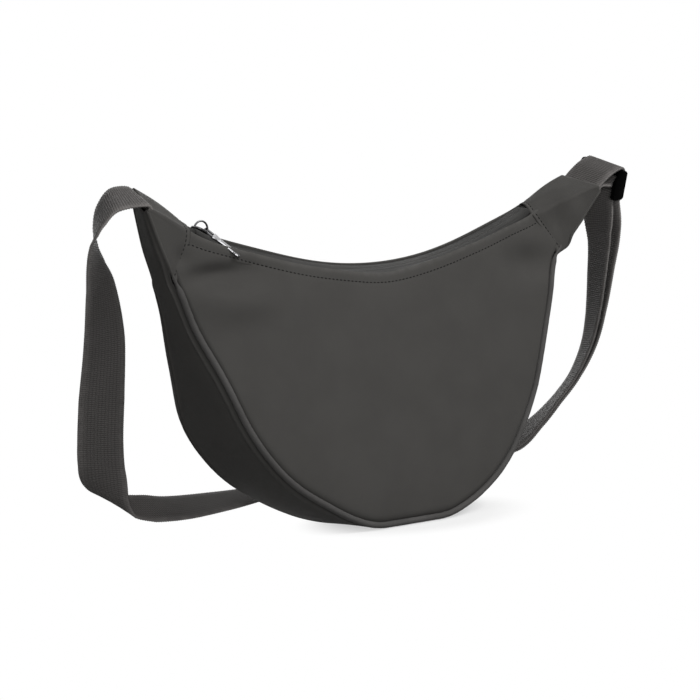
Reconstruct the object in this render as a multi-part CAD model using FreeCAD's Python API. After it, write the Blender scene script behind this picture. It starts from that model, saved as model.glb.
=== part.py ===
import FreeCAD, Part
import math
import os

# Half moon shoulder bag with a zip mouth, piped seams and an adjustable webbing strap.
# X runs from the left tip to the right tip, the front faces -Y and +Z is up.
# The origin is the middle of the flat that the bag stands on. Sizes are in millimetres.

V = FreeCAD.Vector

# Body shell
base_flat_half = 21.0        # half length of the flat under the bag
base_bend_radius = 60.0      # bend between that flat and the belly
belly_radius = 135.0         # round of the half moon
side_flare = 22.0            # lean of the straight sides, degrees from upright
base_half_depth = 50.0       # half depth at the base
mouth_half_depth = 16.3      # half depth at the middle of the mouth
mouth_height = 158.5         # height of the zip's lowest point
patch_low_height = 160.0     # height at which the end patches meet the side seams
shell = 1.2                  # outer cloth with its backing
lining = 0.6                 # inner cloth
seam_gap = 0.3               # clearance between neighbouring pieces

# Piped seam
piping_radius = 2.0          # outside of the piping's cloth cover
piping_cover = 0.5           # cloth of that cover
piping_proud = 1.0           # how far the bead stands out of the panel
piping_lift = 0.1            # how far the bead stays above the floor
piping_end_drop = 2.0        # how far below the end patch the bead stops

# Zip
zip_radius = 295.0           # sweep of the concave mouth
left_zip_end = 138.0         # left end of the mouth from the middle, along X
right_zip_end = 139.0        # right end of the mouth from the middle, along X
mouth_lip = 1.0              # folded cloth standing above the tape
tape = 0.8                   # thickness of the zip tape
zip_gap = 1.8                # slit between the two tapes
coil_width = 2.6
coil_height = 1.8

# Zip slider and its pull
slider_length = 11.0
slider_width = 10.0
slider_plate = 1.3
slider_neck = 1.0
slider_neck_length = 4.0
slider_flange = 0.8
slider_corner = 2.0
slider_stand_off = 9.0       # slider's middle from the end of the mouth, at both ends
bail_length = 11.0
bail_height = 5.6
bail_width = 1.4
bail_wire = 1.2
pull_length = 28.0
pull_thickness = 1.6
pull_arm = 1.1
pull_eye = 7.0               # length of the pull's window
pull_side_play = 2.0         # room between the bail and each arm
pull_pin_place = 1.6         # the pull's pin from the bail's middle, towards the right
pull_yaw = 32.0              # how far the pull lies round to the front, degrees

# Webbing strap
strap_width = 30.0
strap_thickness = 1.5
layer_gap = 0.5              # room between two layers of webbing
sleeve_depth = 6.0           # webbing inside each end patch
tip_side_play = 1.6          # room between the webbing and the patch's folds

# Tips of the two end patches: place, rise and roll in degrees
left_tip_x = -173.4
left_tip_z = 211.3
left_tip_rise = 25.0
left_tip_roll = 20.0
right_tip_x = 196.7
right_tip_z = 208.5
right_tip_rise = 22.0
right_tip_roll = 15.0

# Ring that joins the strap to the right tip
ring_bar_radius = 2.6
ring_height = 15.5           # between the middles of its upper and lower bars
ring_side_play = 0.8         # room between the webbing and each arm
ring_arm_thickness = 3.2
ring_arm_depth = 9.2         # arm across the ring's face
ring_corner = 2.4
ring_lean = 2.0              # the ring hangs out from the bag, degrees
tab_length = 19.5            # from the patch to the ring's upper bar
ring_straight = 5.0          # webbing that hangs straight from the ring's lower bar

# Straight run of the strap on the floor behind the bag
run_start_x = -24.0
run_start_y = 79.0
run_heading = 9.0            # degrees from +X
run_length = 140.0
run_height = 4.2             # middle of the webbing above the floor
return_start = 90.0          # where the returning layer begins on the run

# Strap adjuster on that run
adjuster_place = 75.0        # centre bar, measured along the run
adjuster_length = 28.0
adjuster_rail = 3.0
adjuster_side_play = 0.6
adjuster_side_bar = 4.0
adjuster_bar_thickness = 2.6
adjuster_bar_radius = 1.8
adjuster_floor_gap = 0.5
sewn_tail = 13.0             # webbing folded back under the end loop

# Sizes that follow from the ones above
tilt = math.atan((base_half_depth - mouth_half_depth) / mouth_height)
flare = math.radians(side_flare)
belly_middle = base_bend_radius + math.sqrt(
    (belly_radius - base_bend_radius) ** 2 - base_flat_half ** 2)
zip_middle = mouth_height + zip_radius
tape_left = seam_gap - left_zip_end
tape_right = right_zip_end - seam_gap
reach = 2 * (belly_radius + base_half_depth)
wedge_low = -base_half_depth
wedge_high = 0.9 * base_half_depth / math.tan(tilt)
piping_inset = piping_radius + piping_lift
panel_inset = piping_inset + piping_radius + seam_gap
gusset_margin = 2 * piping_radius - piping_proud + seam_gap
tape_bottom = zip_radius + tape
coil_top = tape_bottom + seam_gap
coil_bottom = coil_top + coil_height
coil_edge = zip_gap / 2 + coil_width
half_width = strap_width / 2
half_thickness = strap_thickness / 2
layer_pitch = strap_thickness + layer_gap


def half_depth(height):
    """Half depth of the bag at a height."""
    return base_half_depth - math.tan(tilt) * height


def along_y(thickness):
    """Thickness of a tilted panel measured along Y."""
    return thickness / math.cos(tilt)


def mirrored(point):
    """The point's twin on the left side."""
    return V(-point.x, point.y, point.z)


def unit(vector):
    """A copy of the vector with length 1."""
    return vector / vector.Length


def line(start, end):
    """Straight edge."""
    return Part.LineSegment(start, end).toShape()


def arc(start, middle, end):
    """Circular edge through three points."""
    return Part.Arc(start, middle, end).toShape()


def closed_prism(edges, offset, depth):
    """Solid from a closed outline, shifted by offset and extruded along depth."""
    face = Part.Face(Part.Wire(edges))
    face.translate(offset)
    return face.extrude(depth)


def through_y(edges):
    """Solid from an outline in the XZ plane, right through the bag's depth."""
    return closed_prism(edges, V(0, -reach, 0), V(0, 2 * reach, 0))


def right_points(inset, top):
    """Points of the half moon's right half, moved in from the outside of the gusset."""
    bend_middle = V(base_flat_half, 0, base_bend_radius)
    belly = V(0, 0, belly_middle)
    down = V(0, 0, -1)
    bend_way = unit(bend_middle - belly)
    side_way = V(math.cos(flare), 0, -math.sin(flare))
    start = bend_middle + down * (base_bend_radius - inset)
    bend = bend_middle + unit(down + bend_way) * (base_bend_radius - inset)
    join = belly + bend_way * (belly_radius - inset)
    round_middle = belly + unit(bend_way + side_way) * (belly_radius - inset)
    side = belly + side_way * (belly_radius - inset)
    rise = (top - side.z) / math.cos(flare)
    end = side + V(math.sin(flare), 0, math.cos(flare)) * rise
    return start, bend, join, round_middle, side, end


def moon_edges(inset, top):
    """Open outline of the half moon, from its left side round the base to its right side."""
    start, bend, join, round_middle, side, end = right_points(inset, top)
    return [
        line(mirrored(end), mirrored(side)),
        arc(mirrored(side), mirrored(round_middle), mirrored(join)),
        arc(mirrored(join), mirrored(bend), mirrored(start)),
        line(mirrored(start), start),
        arc(start, bend, join),
        arc(join, round_middle, side),
        line(side, end),
    ]


def moon_prism(inset, top):
    """The half moon as a solid through the bag's depth, flat on top."""
    end = right_points(inset, top)[-1]
    return through_y(moon_edges(inset, top) + [line(end, mirrored(end))])


def across_x(corners):
    """Solid from a polygon in the YZ plane, right across the bag."""
    points = [V(-reach, y, z) for y, z in corners]
    edges = [line(a, b) for a, b in zip(points, points[1:] + points[:1])]
    return closed_prism(edges, V(0, 0, 0), V(2 * reach, 0, 0))


def depth_wedge(margin):
    """Space between the front and back faces, less a margin along Y on each."""
    low = half_depth(wedge_low) - margin
    high = half_depth(wedge_high) - margin
    return across_x([(-low, wedge_low), (low, wedge_low), (high, wedge_high), (-high, wedge_high)])


def tilted_slab(facing, outer, inner):
    """Sheet parallel to the front (-1) or back (1) face, between two depths along Y."""
    corners = []
    for height, margin in ((wedge_low, outer), (wedge_high, outer),
                           (wedge_high, inner), (wedge_low, inner)):
        corners.append((facing * (half_depth(height) - margin), height))
    return across_x(corners)


def zip_point(radius, x):
    """Point of an arc about the mouth's axis."""
    return V(x, 0, zip_middle - math.sqrt(radius ** 2 - x ** 2))


def zip_arc(radius):
    """Arc about the mouth's axis from end to end."""
    return arc(zip_point(radius, tape_left), zip_point(radius, 0), zip_point(radius, tape_right))


def zip_band(top_radius, bottom_radius):
    """Closed outline of a band that follows the mouth."""
    return [
        zip_arc(top_radius),
        line(zip_point(top_radius, tape_right), zip_point(bottom_radius, tape_right)),
        zip_arc(bottom_radius),
        line(zip_point(bottom_radius, tape_left), zip_point(top_radius, tape_left)),
    ]


def panel_prism(top_radius):
    """Outline of a front or back panel as a solid through the depth."""
    side = right_points(panel_inset, patch_low_height)[-1]
    edges = moon_edges(panel_inset, patch_low_height) + [
        line(side, zip_point(top_radius, tape_right)),
        zip_arc(top_radius),
        line(zip_point(top_radius, tape_left), mirrored(side)),
    ]
    return through_y(edges)


def make_panel(facing):
    """Outer cloth panel, front or back."""
    return tilted_slab(facing, 0, along_y(shell)).common(panel_prism(zip_radius - mouth_lip))


def make_panel_lining(facing):
    """Lining behind a panel, sewn in under the zip tape."""
    outer = along_y(shell) + seam_gap
    sheet = tilted_slab(facing, outer, outer + along_y(lining))
    return sheet.common(panel_prism(coil_top))


def moon_band(inset, thickness, margin):
    """Strip that runs round the half moon between the two panels."""
    outside = moon_prism(inset, patch_low_height)
    inside = moon_prism(inset + thickness, patch_low_height + thickness)
    return outside.cut(inside).common(depth_wedge(margin))


class Tip:
    """Outer end of an end patch, where webbing leaves the bag."""

    def __init__(self, x, z, rise, roll, zip_end, layers):
        self.hand = math.copysign(1, x)
        self.zip_end = zip_end
        rise = math.radians(rise)
        roll = math.radians(roll)
        self.place = V(x, 0, z)
        self.out = V(self.hand * math.cos(rise), 0, math.sin(rise))
        upright = V(-self.hand * math.sin(rise), 0, math.cos(rise))
        self.back = V(0, math.cos(roll), 0) + upright * math.sin(roll)
        self.up = upright * math.cos(roll) - V(0, math.sin(roll), 0)
        seam = zip_point(zip_radius, zip_end) * 0.3 + right_points(0, patch_low_height)[-1] * 0.7
        self.inward = unit(V(self.hand * seam.x, 0, seam.z) - self.place)
        self.stack = (layers * strap_thickness + (layers - 1) * layer_gap) / 2 + seam_gap

    def at(self, out, back, up):
        """Point given along the tip's own three directions."""
        return self.place + self.out * out + self.back * back + self.up * up

    def in_sleeve(self, up):
        """Middle of the webbing's hidden end inside the patch."""
        return self.place + self.inward * sleeve_depth + self.up * up

    def section(self, half, low, high):
        """Closed rectangle across the tip."""
        return Part.makePolygon([
            self.at(0, -half, low), self.at(0, half, low),
            self.at(0, half, high), self.at(0, -half, high), self.at(0, -half, low)])


left_tip = Tip(left_tip_x, left_tip_z, left_tip_rise, left_tip_roll, left_zip_end, 1)
right_tip = Tip(right_tip_x, right_tip_z, right_tip_rise, right_tip_roll, right_zip_end, 2)


def seam_section(tip, wall, open_below):
    """Closed outline across the seam between the panels and an end patch."""
    top = zip_point(zip_radius - mouth_lip, tip.zip_end)
    low = right_points(0, patch_low_height)[-1]
    down = unit(low - top)
    top = top + down * wall
    low = low + down * open_below
    corners = []
    for point, side in ((low, -1), (low, 1), (top, 1), (top, -1), (low, -1)):
        y = side * (half_depth(point.z) - along_y(wall))
        corners.append(V(tip.hand * point.x, y, point.z))
    return Part.makePolygon(corners)


def make_end_patch(tip):
    """Folded cap over the end of the mouth, open underneath for the gusset."""
    half = half_width + tip_side_play
    outer = Part.makeLoft([
        seam_section(tip, 0, 0),
        tip.section(half + shell, -tip.stack - shell, tip.stack + shell)], True, True)
    opening = 2 * shell
    inner = Part.makeLoft([
        seam_section(tip, shell, opening),
        tip.section(half, -tip.stack - shell - opening, tip.stack)], True, True)
    return outer.cut(inner)


def make_gusset():
    """Strip round the base and sides that runs on up under both tips."""
    gusset = moon_band(0, shell, gusset_margin)
    outside = right_points(0, patch_low_height)[-1]
    inside = right_points(shell, patch_low_height)[-1]
    half = half_depth(patch_low_height) - gusset_margin
    for tip in (left_tip, right_tip):
        corners = []
        for point, side in ((outside, -1), (outside, 1), (inside, 1), (inside, -1), (outside, -1)):
            corners.append(V(tip.hand * point.x, side * half, point.z))
        end = tip.section(half_width, -tip.stack - shell, -tip.stack)
        gusset = gusset.fuse(Part.makeLoft([Part.makePolygon(corners), end], True, True))
    return gusset.removeSplitter()


def tangent_arc(start, way, end):
    """Circular edge that leaves start along way and reaches end."""
    chord = end - start
    inward = unit(chord - way * chord.dot(way))
    radius = chord.dot(chord) / (2 * chord.dot(inward))
    middle = start + inward * radius
    crown = middle + unit((start + end) / 2 - middle) * radius
    return arc(start, crown, end)


def two_arcs(start, start_way, end, end_way):
    """Two tangent circular edges that join two places and directions."""
    chord = end - start
    both = chord.dot(start_way + end_way)
    bend = 2 * (1 - start_way.dot(end_way))
    pull = (math.sqrt(both ** 2 + bend * chord.dot(chord)) - both) / bend
    join = (start + end + (start_way - end_way) * pull) / 2
    join_way = unit(join - start - start_way * (pull / 2) + (end - end_way * (pull / 2) - join))
    return [tangent_arc(start, start_way, join), tangent_arc(join, join_way, end)]


def piping_path(facing):
    """Line of the piped seam, lying in the tilted plane of a panel."""
    lean = -facing * math.tan(tilt)
    plane_y = facing * (base_half_depth - piping_radius + piping_proud)

    def in_plane(point):
        return V(point.x, plane_y + lean * point.z, point.z)

    def way_of(radial):
        return unit(V(-radial.z, lean * radial.x, radial.x))

    start, bend, join, round_middle, side, end = right_points(
        piping_inset, patch_low_height - piping_end_drop)
    bend_middle = V(base_flat_half, 0, base_bend_radius)
    belly = V(0, 0, belly_middle)
    knots = [(start, start - bend_middle), (bend, bend - bend_middle), (join, join - belly),
             (round_middle, round_middle - belly), (side, side - belly)]
    twins = [(mirrored(point), mirrored(radial)) for point, radial in reversed(knots)]
    places = [(in_plane(point), way_of(radial)) for point, radial in twins + knots]
    edges = [line(in_plane(mirrored(end)), places[0][0])]
    for (a, a_way), (b, b_way) in zip(places, places[1:]):
        straight = a_way.dot(b_way) > 1 - 1e-9
        edges += [line(a, b)] if straight else two_arcs(a, a_way, b, b_way)
    edges.append(line(places[-1][0], in_plane(end)))
    return Part.Wire(edges)


def tube(path, radius):
    """Round bar along a path."""
    first = path.OrderedEdges[0]
    start = path.OrderedVertexes[0].Point
    way = first.tangentAt(first.FirstParameter)
    circle = Part.Wire([Part.makeCircle(radius, start, way)])
    return path.makePipeShell([circle], True, False)


def make_piping(facing):
    """Cloth cover of a piped seam and the cord inside it."""
    path = piping_path(facing)
    bore = piping_radius - piping_cover
    cover = tube(path, piping_radius).cut(tube(path, bore))
    return cover, tube(path, bore - seam_gap / 2)


def make_tape(facing):
    """Half of the zip tape."""
    edges = zip_band(zip_radius, tape_bottom)
    band = closed_prism(edges, V(0, facing * zip_gap / 2, 0), V(0, facing * reach, 0))
    return band.common(depth_wedge(along_y(shell) + seam_gap))


def make_coil(facing):
    """Envelope of one side's coil, under its tape."""
    edges = zip_band(coil_top, coil_bottom)
    return closed_prism(edges, V(0, facing * zip_gap / 2, 0), V(0, facing * coil_width, 0))


def block(x_range, y_range, z_range):
    """Box from its ranges."""
    size = [high - low for low, high in (x_range, y_range, z_range)]
    return Part.makeBox(*size, V(x_range[0], y_range[0], z_range[0]))


slider_turn = math.degrees(math.asin((left_zip_end - slider_stand_off) / zip_radius))
slider_stop = math.degrees(math.asin((right_zip_end - slider_stand_off) / zip_radius))
plate_top = mouth_height + seam_gap + slider_plate
pin_radius = pull_thickness / 2

# The pull's pin lies under the bail's round, and its tip rests over the front lip
hollow_half = bail_length / 2 - bail_wire
hollow_height = bail_height - bail_wire
hollow_radius = (hollow_half ** 2 + hollow_height ** 2) / (2 * hollow_height)
pin_reach = pull_pin_place + bail_width / 2 * math.tan(math.radians(pull_yaw))
pin_room = hollow_radius - pin_radius / math.cos(math.radians(pull_yaw)) - seam_gap
pin_lift = hollow_height - hollow_radius + math.sqrt(pin_room ** 2 - pin_reach ** 2)
pull_axis = V(pull_pin_place, 0, plate_top + pin_lift)
pull_rise = (pull_pin_place + pull_length * math.cos(math.radians(pull_yaw))) ** 2 / (2 * zip_radius)
pull_drop = math.degrees(math.asin(
    (pull_axis.z - mouth_height - mouth_lip - pin_radius - seam_gap - pull_rise) / pull_length))


def to_rest(shape):
    """Carries a piece made at the mouth's lowest point to the slider's place on the left."""
    return shape.rotate(V(0, 0, zip_middle), V(0, -1, 0), -slider_turn)


def slider_plate_at(low):
    """One of the slider's two plates, with rounded corners."""
    half_length = slider_length / 2
    plate = block((-half_length, half_length), (-slider_width / 2, slider_width / 2),
                  (low, low + slider_plate))
    upright = [edge for edge in plate.Edges if abs(edge.tangentAt(0).z) > 0.5]
    return plate.makeFillet(slider_corner, upright)


def make_slider():
    """Zip slider: two plates, neck, flanges and the bail that carries the pull."""
    floor_top = mouth_height - (coil_bottom - zip_radius) - seam_gap
    slider = slider_plate_at(plate_top - slider_plate)
    slider = slider.fuse(slider_plate_at(floor_top - slider_plate))
    half_length = slider_length / 2
    neck = block((-half_length + slider_corner, -half_length + slider_corner + slider_neck_length),
                 (-slider_neck / 2, slider_neck / 2), (floor_top, plate_top - slider_plate))
    slider = slider.fuse(neck)
    flange_top = mouth_height - tape - seam_gap
    for side in (-1, 1):
        near = coil_edge + seam_gap
        span = sorted((side * near, side * (near + slider_flange)))
        straight = half_length - slider_corner
        slider = slider.fuse(block((-straight, straight), span, (floor_top, flange_top)))
    outer = V(bail_length / 2, 0, plate_top)
    inner = outer - V(bail_wire, 0, 0)
    crown = V(0, 0, plate_top + bail_height)
    hollow = crown - V(0, 0, bail_wire)
    edges = [arc(mirrored(outer), crown, outer), line(outer, inner),
             arc(inner, hollow, mirrored(inner)), line(mirrored(inner), mirrored(outer))]
    bail = closed_prism(edges, V(0, -bail_width / 2, 0), V(0, bail_width, 0))
    return to_rest(slider.fuse(bail).removeSplitter())


def make_pull():
    """Flat pull with a window, its cross pin under the bail."""
    near = bail_width / 2 + pull_side_play
    half = near + pull_arm
    pin = Part.makeCylinder(pin_radius, 2 * half, V(0, -half, 0), V(0, 1, 0))
    tip_middle = pull_length - half
    body = block((0, tip_middle), (-half, half), (-pin_radius, pin_radius))
    end = Part.makeCylinder(half, pull_thickness, V(tip_middle, 0, -pin_radius))
    window = block((-pin_radius, pull_eye), (-near, near), (-pull_thickness, pull_thickness))
    pull = body.fuse(end).cut(window).fuse(pin).removeSplitter()
    pull.rotate(V(0, 0, 0), V(0, 1, 0), pull_drop)
    pull.rotate(V(0, 0, 0), V(0, 0, 1), -pull_yaw)
    pull.translate(pull_axis)
    return to_rest(pull)


class Station:
    """One place along a webbing: its middle, its width direction and the spread of two layers."""

    def __init__(self, middle, across, spread=0.0):
        self.middle = V(*middle)
        self.across = unit(V(*across))
        self.spread = spread


def smooth(stations, steps):
    """Stations filled in between the given ones along a smooth curve."""
    first = Station(stations[0].middle * 2 - stations[1].middle, stations[0].across, stations[0].spread)
    last = Station(stations[-1].middle * 2 - stations[-2].middle, stations[-1].across, stations[-1].spread)
    padded = [first] + stations + [last]
    filled = []
    for a, b, c, d in zip(padded, padded[1:], padded[2:], padded[3:]):
        for step in range(steps):
            t = step / steps
            middle = (b.middle * 2 + (c.middle - a.middle) * t
                      + (a.middle * 2 - b.middle * 5 + c.middle * 4 - d.middle) * t ** 2
                      + (b.middle * 3 - a.middle - c.middle * 3 + d.middle) * t ** 3) / 2
            across = b.across * (1 - t) + c.across * t
            filled.append(Station(middle, across, b.spread * (1 - t) + c.spread * t))
    return filled + [stations[-1]]


def facings(stations):
    """Direction square to the webbing's face at each station."""
    last = len(stations) - 1
    normals = []
    for index, station in enumerate(stations):
        way = stations[min(index + 1, last)].middle - stations[max(index - 1, 0)].middle
        normals.append(unit(way.cross(station.across)))
    return normals


def make_webbing(stations):
    """Flat webbing through a row of stations."""
    sections = []
    for station, normal in zip(stations, facings(stations)):
        across = station.across * half_width
        thick = normal * half_thickness
        corners = [station.middle - across - thick, station.middle + across - thick,
                   station.middle + across + thick, station.middle - across + thick]
        sections.append(Part.makePolygon(corners + corners[:1]))
    return Part.makeLoft(sections, True, True)


def wrap(middle, first, second, radius, across, angles):
    """Stations round a bar, turning from the first direction to the second."""
    stations = []
    for angle in angles:
        turn = math.radians(angle)
        way = first * math.cos(turn) + second * math.sin(turn)
        stations.append(Station(middle + way * radius, across))
    return stations


def on_floor(stations):
    """Lifts stations so that the webbing's lower edge stays clear of the floor."""
    for station in stations:
        least = abs(station.across.z) * half_width + half_thickness + seam_gap
        station.middle.z = max(station.middle.z, least)
    return stations


half_circle = range(0, 181, 30)
bar_wrap = ring_bar_radius + seam_gap + half_thickness

# Ring directions: along its bars, down its arms and out of its face
ring_top = right_tip.at(tab_length, 0, 0)
ring_across = -right_tip.back
hang = V(math.sin(math.radians(ring_lean)), 0, -math.cos(math.radians(ring_lean)))
ring_down = unit(hang - ring_across * hang.dot(ring_across))
ring_out = unit(ring_across.cross(ring_down))
ring_low = ring_top + ring_down * ring_height


def make_ring():
    """Rectangular strap ring: two flat arms joined by round bars."""
    inner = half_width + ring_side_play
    face = ring_bar_radius
    corners = [(face, -face), (face, ring_height + face),
               (face - ring_arm_depth, ring_height + face), (face - ring_arm_depth, -face)]
    points = [ring_top + ring_out * out + ring_down * down for out, down in corners]
    edges = [line(a, b) for a, b in zip(points, points[1:] + points[:1])]
    pieces = []
    for side in (-1, 1):
        arm = closed_prism(edges, ring_across * (side * inner), ring_across * (side * ring_arm_thickness))
        along = [edge for edge in arm.Edges if abs(edge.tangentAt(0).dot(ring_across)) > 0.9]
        pieces.append(arm.makeFillet(ring_corner, along))
    for middle in (ring_top, ring_low):
        start = middle - ring_across * (inner + ring_arm_thickness / 2)
        length = 2 * inner + ring_arm_thickness
        pieces.append(Part.makeCylinder(ring_bar_radius, length, start, ring_across))
    return pieces[0].multiFuse(pieces[1:]).removeSplitter()


def make_ring_tab():
    """Short webbing loop that ties the ring into the right tip."""
    across = ring_across
    layer = layer_pitch / 2
    upper = [
        Station(right_tip.in_sleeve(layer), across),
        Station(right_tip.at(0, 0, layer), across),
        Station(right_tip.at(tab_length / 2, 0, (layer + bar_wrap) / 2), across)]
    lower = [
        Station(right_tip.at(tab_length / 2, 0, -(layer + bar_wrap) / 2), across),
        Station(right_tip.at(0, 0, -layer), across),
        Station(right_tip.in_sleeve(-layer), across)]
    fold = wrap(ring_top, right_tip.up, right_tip.out, bar_wrap, across, half_circle)
    return make_webbing(upper + fold + lower)


# Left drop: out of the left tip, over, down with half a twist and round a soft fold on the floor.
# The first places are measured from the tip and the rest from the origin.
left_arch = [
    ((-15.6, 2.0, -1.8), (0.35, 0.87, 0.35)),
    ((-24.4, 3.0, -11.0), (0.39, 0.89, 0.25)),
    ((-26.9, 5.0, -20.6), (0.49, 0.87, 0.07)),
    ((-25.7, 8.0, -29.1), (0.64, 0.76, -0.13)),
    ((-21.4, 13.0, -39.2), (0.84, 0.54, -0.04)),
    ((-12.5, 22.0, -55.9), (0.95, 0.29, 0.09)),
]
left_drop = [
    ((-174.1, 38.0, 121.9), (1.00, -0.05, 0.07)),
    ((-165.2, 56.0, 82.1), (0.96, -0.26, 0.01)),
    ((-159.3, 67.0, 55.0), (0.90, -0.43, 0.00)),
    ((-154.4, 73.0, 34.2), (0.72, -0.69, -0.04)),
    ((-146.0, 80.0, 17.0), (0.45, -0.87, -0.20)),
    ((-137.0, 76.0, 9.0), (0.20, -0.90, -0.38)),
    ((-127.0, 67.5, 7.5), (0.20, -0.87, -0.45)),
    ((-116.0, 64.0, 6.5), (0.22, -0.88, -0.41)),
    ((-98.0, 65.0, 5.4), (0.20, -0.93, -0.30)),
    ((-60.0, 72.0, 4.3), (0.16, -0.98, -0.16)),
]

# Right drop from the floor up to the ring: place, width direction and layer spread.
right_drop = [
    ((128.0, 100.0, 6.6), (0.08, -0.99, -0.03), 2.0),
    ((150.0, 93.0, 8.6), (-0.10, -0.98, -0.10), 2.0),
    ((172.0, 77.0, 12.5), (-0.32, -0.93, -0.16), 2.0),
    ((185.7, 57.0, 20.5), (-0.50, -0.84, -0.20), 2.1),
    ((195.0, 44.0, 35.0), (-0.52, -0.83, -0.14), 2.2),
    ((203.0, 33.0, 51.4), (-0.50, -0.86, -0.02), 2.4),
    ((211.0, 24.0, 69.0), (-0.46, -0.88, 0.08), 2.6),
    ((214.5, 15.0, 91.0), (-0.50, -0.85, 0.12), 3.0),
    ((213.5, 8.0, 114.0), (-0.43, -0.88, 0.16), 3.8),
    ((212.0, 3.0, 144.3), (-0.32, -0.92, 0.20), 5.5),
    ((211.5, 1.0, 168.0), (-0.24, -0.94, 0.22), 7.6),
]

run_way = V(math.cos(math.radians(run_heading)), math.sin(math.radians(run_heading)), 0)
run_across = V(run_way.y, -run_way.x, 0)
run_start = V(run_start_x, run_start_y, run_height)


def on_run(along, lift):
    """Station on the straight run, lifted above the main webbing."""
    return Station(run_start + run_way * along + V(0, 0, lift), run_across)


def make_strap():
    """Main webbing: left tip, floor, up to the ring, over its lower bar and back down."""
    left = [Station(left_tip.in_sleeve(0), left_tip.back), Station(left_tip.place, left_tip.back)]
    left += [Station(left_tip.place + V(*place), across) for place, across in left_arch]
    left += on_floor([Station(place, across) for place, across in left_drop])
    left.append(on_run(0, 0))
    run_end = on_run(run_length, layer_pitch)
    run_end.spread = layer_pitch
    at_bar = ring_low - ring_out * bar_wrap
    hanging = Station(at_bar + ring_down * ring_straight, ring_across, 2 * bar_wrap)
    drop = on_floor([Station(*row) for row in right_drop])
    inner = smooth([run_end] + drop + [hanging], 3) + [Station(at_bar, ring_across)]
    outer = [Station(station.middle + normal * station.spread, station.across)
             for station, normal in zip(inner, facings(inner))]
    over = wrap(ring_low, ring_out, -ring_down, bar_wrap, ring_across, half_circle[:-1])
    back = inner[::-1] + [on_run(return_start, layer_pitch)]
    return make_webbing(smooth(left, 3) + outer[:-1] + over + back)


bar_lift = half_thickness + layer_gap + strap_thickness + seam_gap + adjuster_bar_radius
loop_radius = adjuster_bar_radius + seam_gap + half_thickness


def make_strap_end():
    """End of the webbing, sewn round the adjuster's centre bar and lying on the returning layer."""
    bar = on_run(adjuster_place, bar_lift).middle
    lying = layer_pitch + strap_thickness + seam_gap
    up = V(0, 0, 1)
    tail = [on_run(adjuster_place + sewn_tail, bar_lift - loop_radius)]
    fold = wrap(bar, -up, -run_way, loop_radius, run_across, half_circle)
    lead = [on_run(adjuster_place + sewn_tail / 2, (bar_lift + loop_radius + lying) / 2),
            on_run(adjuster_place + sewn_tail, lying),
            on_run(run_length, lying)]
    return make_webbing(tail + fold + lead)


def make_adjuster():
    """Three-bar adjuster: side bars under the strap, centre bar above it."""
    inner = half_width + adjuster_side_play
    outer = inner + adjuster_rail
    half = adjuster_length / 2
    low = adjuster_floor_gap - run_height
    shoulder = low + adjuster_bar_thickness
    crest = bar_lift + adjuster_bar_radius
    profile = [(-half, low), (half, low), (half, shoulder), (2 * adjuster_bar_radius, crest),
               (-2 * adjuster_bar_radius, crest), (-half, shoulder)]
    centre = on_run(adjuster_place, 0).middle

    def at(along, across, lift):
        return centre + run_way * along + run_across * across + V(0, 0, lift)

    pieces = []
    for side in (-1, 1):
        points = [at(along, side * inner, lift) for along, lift in profile]
        edges = [line(a, b) for a, b in zip(points, points[1:] + points[:1])]
        pieces.append(closed_prism(edges, V(0, 0, 0), run_across * (side * adjuster_rail)))
        near = half - adjuster_side_bar
        bar = [at(side * a, -inner, b) for a, b in
               ((near, low), (half, low), (half, shoulder), (near, shoulder))]
        edges = [line(a, b) for a, b in zip(bar, bar[1:] + bar[:1])]
        pieces.append(closed_prism(edges, V(0, 0, 0), run_across * (2 * inner)))
    pieces.append(Part.makeCylinder(adjuster_bar_radius, 2 * outer, at(0, -outer, bar_lift), run_across))
    return pieces[0].multiFuse(pieces[1:]).removeSplitter()


nodes = {
    "gusset": make_gusset(),
    "gusset_lining": moon_band(shell + seam_gap, lining, gusset_margin),
    "left_end_patch": make_end_patch(left_tip),
    "right_end_patch": make_end_patch(right_tip),
    "zip_slider": make_slider(),
    "zip_pull": make_pull(),
    "strap": make_strap(),
    "strap_end": make_strap_end(),
    "strap_adjuster": make_adjuster(),
    "strap_ring": make_ring(),
    "ring_tab": make_ring_tab(),
}
for face_name, facing in (("front", -1), ("back", 1)):
    nodes[face_name + "_panel"] = make_panel(facing)
    nodes[face_name + "_lining"] = make_panel_lining(facing)
    nodes[face_name + "_zip_tape"] = make_tape(facing)
    nodes[face_name + "_zip_coil"] = make_coil(facing)
    piping_cloth, piping_cord = make_piping(facing)
    nodes[face_name + "_piping_cover"] = piping_cloth
    nodes[face_name + "_piping_cord"] = piping_cord

os.makedirs("parts", exist_ok=True)
for node_name, shape in nodes.items():
    box = shape.BoundBox
    print(f"{node_name}: {len(shape.Solids)} solid, valid {shape.isValid()}, {shape.Volume:.0f} mm3,"
          f" x {box.XMin:.1f} {box.XMax:.1f} y {box.YMin:.1f} {box.YMax:.1f}"
          f" z {box.ZMin:.1f} {box.ZMax:.1f}")
    shape.exportStep(f"parts/{node_name}.step")

turned_axis = FreeCAD.Rotation(V(0, -1, 0), -slider_turn)
pull_pivot = V(0, 0, zip_middle) + turned_axis.multVec(pull_axis - V(0, 0, zip_middle))
yawed = FreeCAD.Rotation(V(0, 0, 1), -pull_yaw).multVec(V(0, 1, 0))
print("slider turns about", V(0, 0, zip_middle), "through", slider_turn + slider_stop, "degrees")
print("pull swings about", pull_pivot, "along", turned_axis.multVec(yawed))
print("adjuster slides along", run_way)
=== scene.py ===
"""Half moon shoulder bag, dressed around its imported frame.

All sizes are metres in the frame's own axes: X runs from the left tip of the bag to the right tip,
the front faces -Y and +Z is up. The origin is the middle of the flat that the bag stands on.
"""

import logging
import math
from collections.abc import Callable
from dataclasses import dataclass, field
from enum import Enum
from functools import cache

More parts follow.
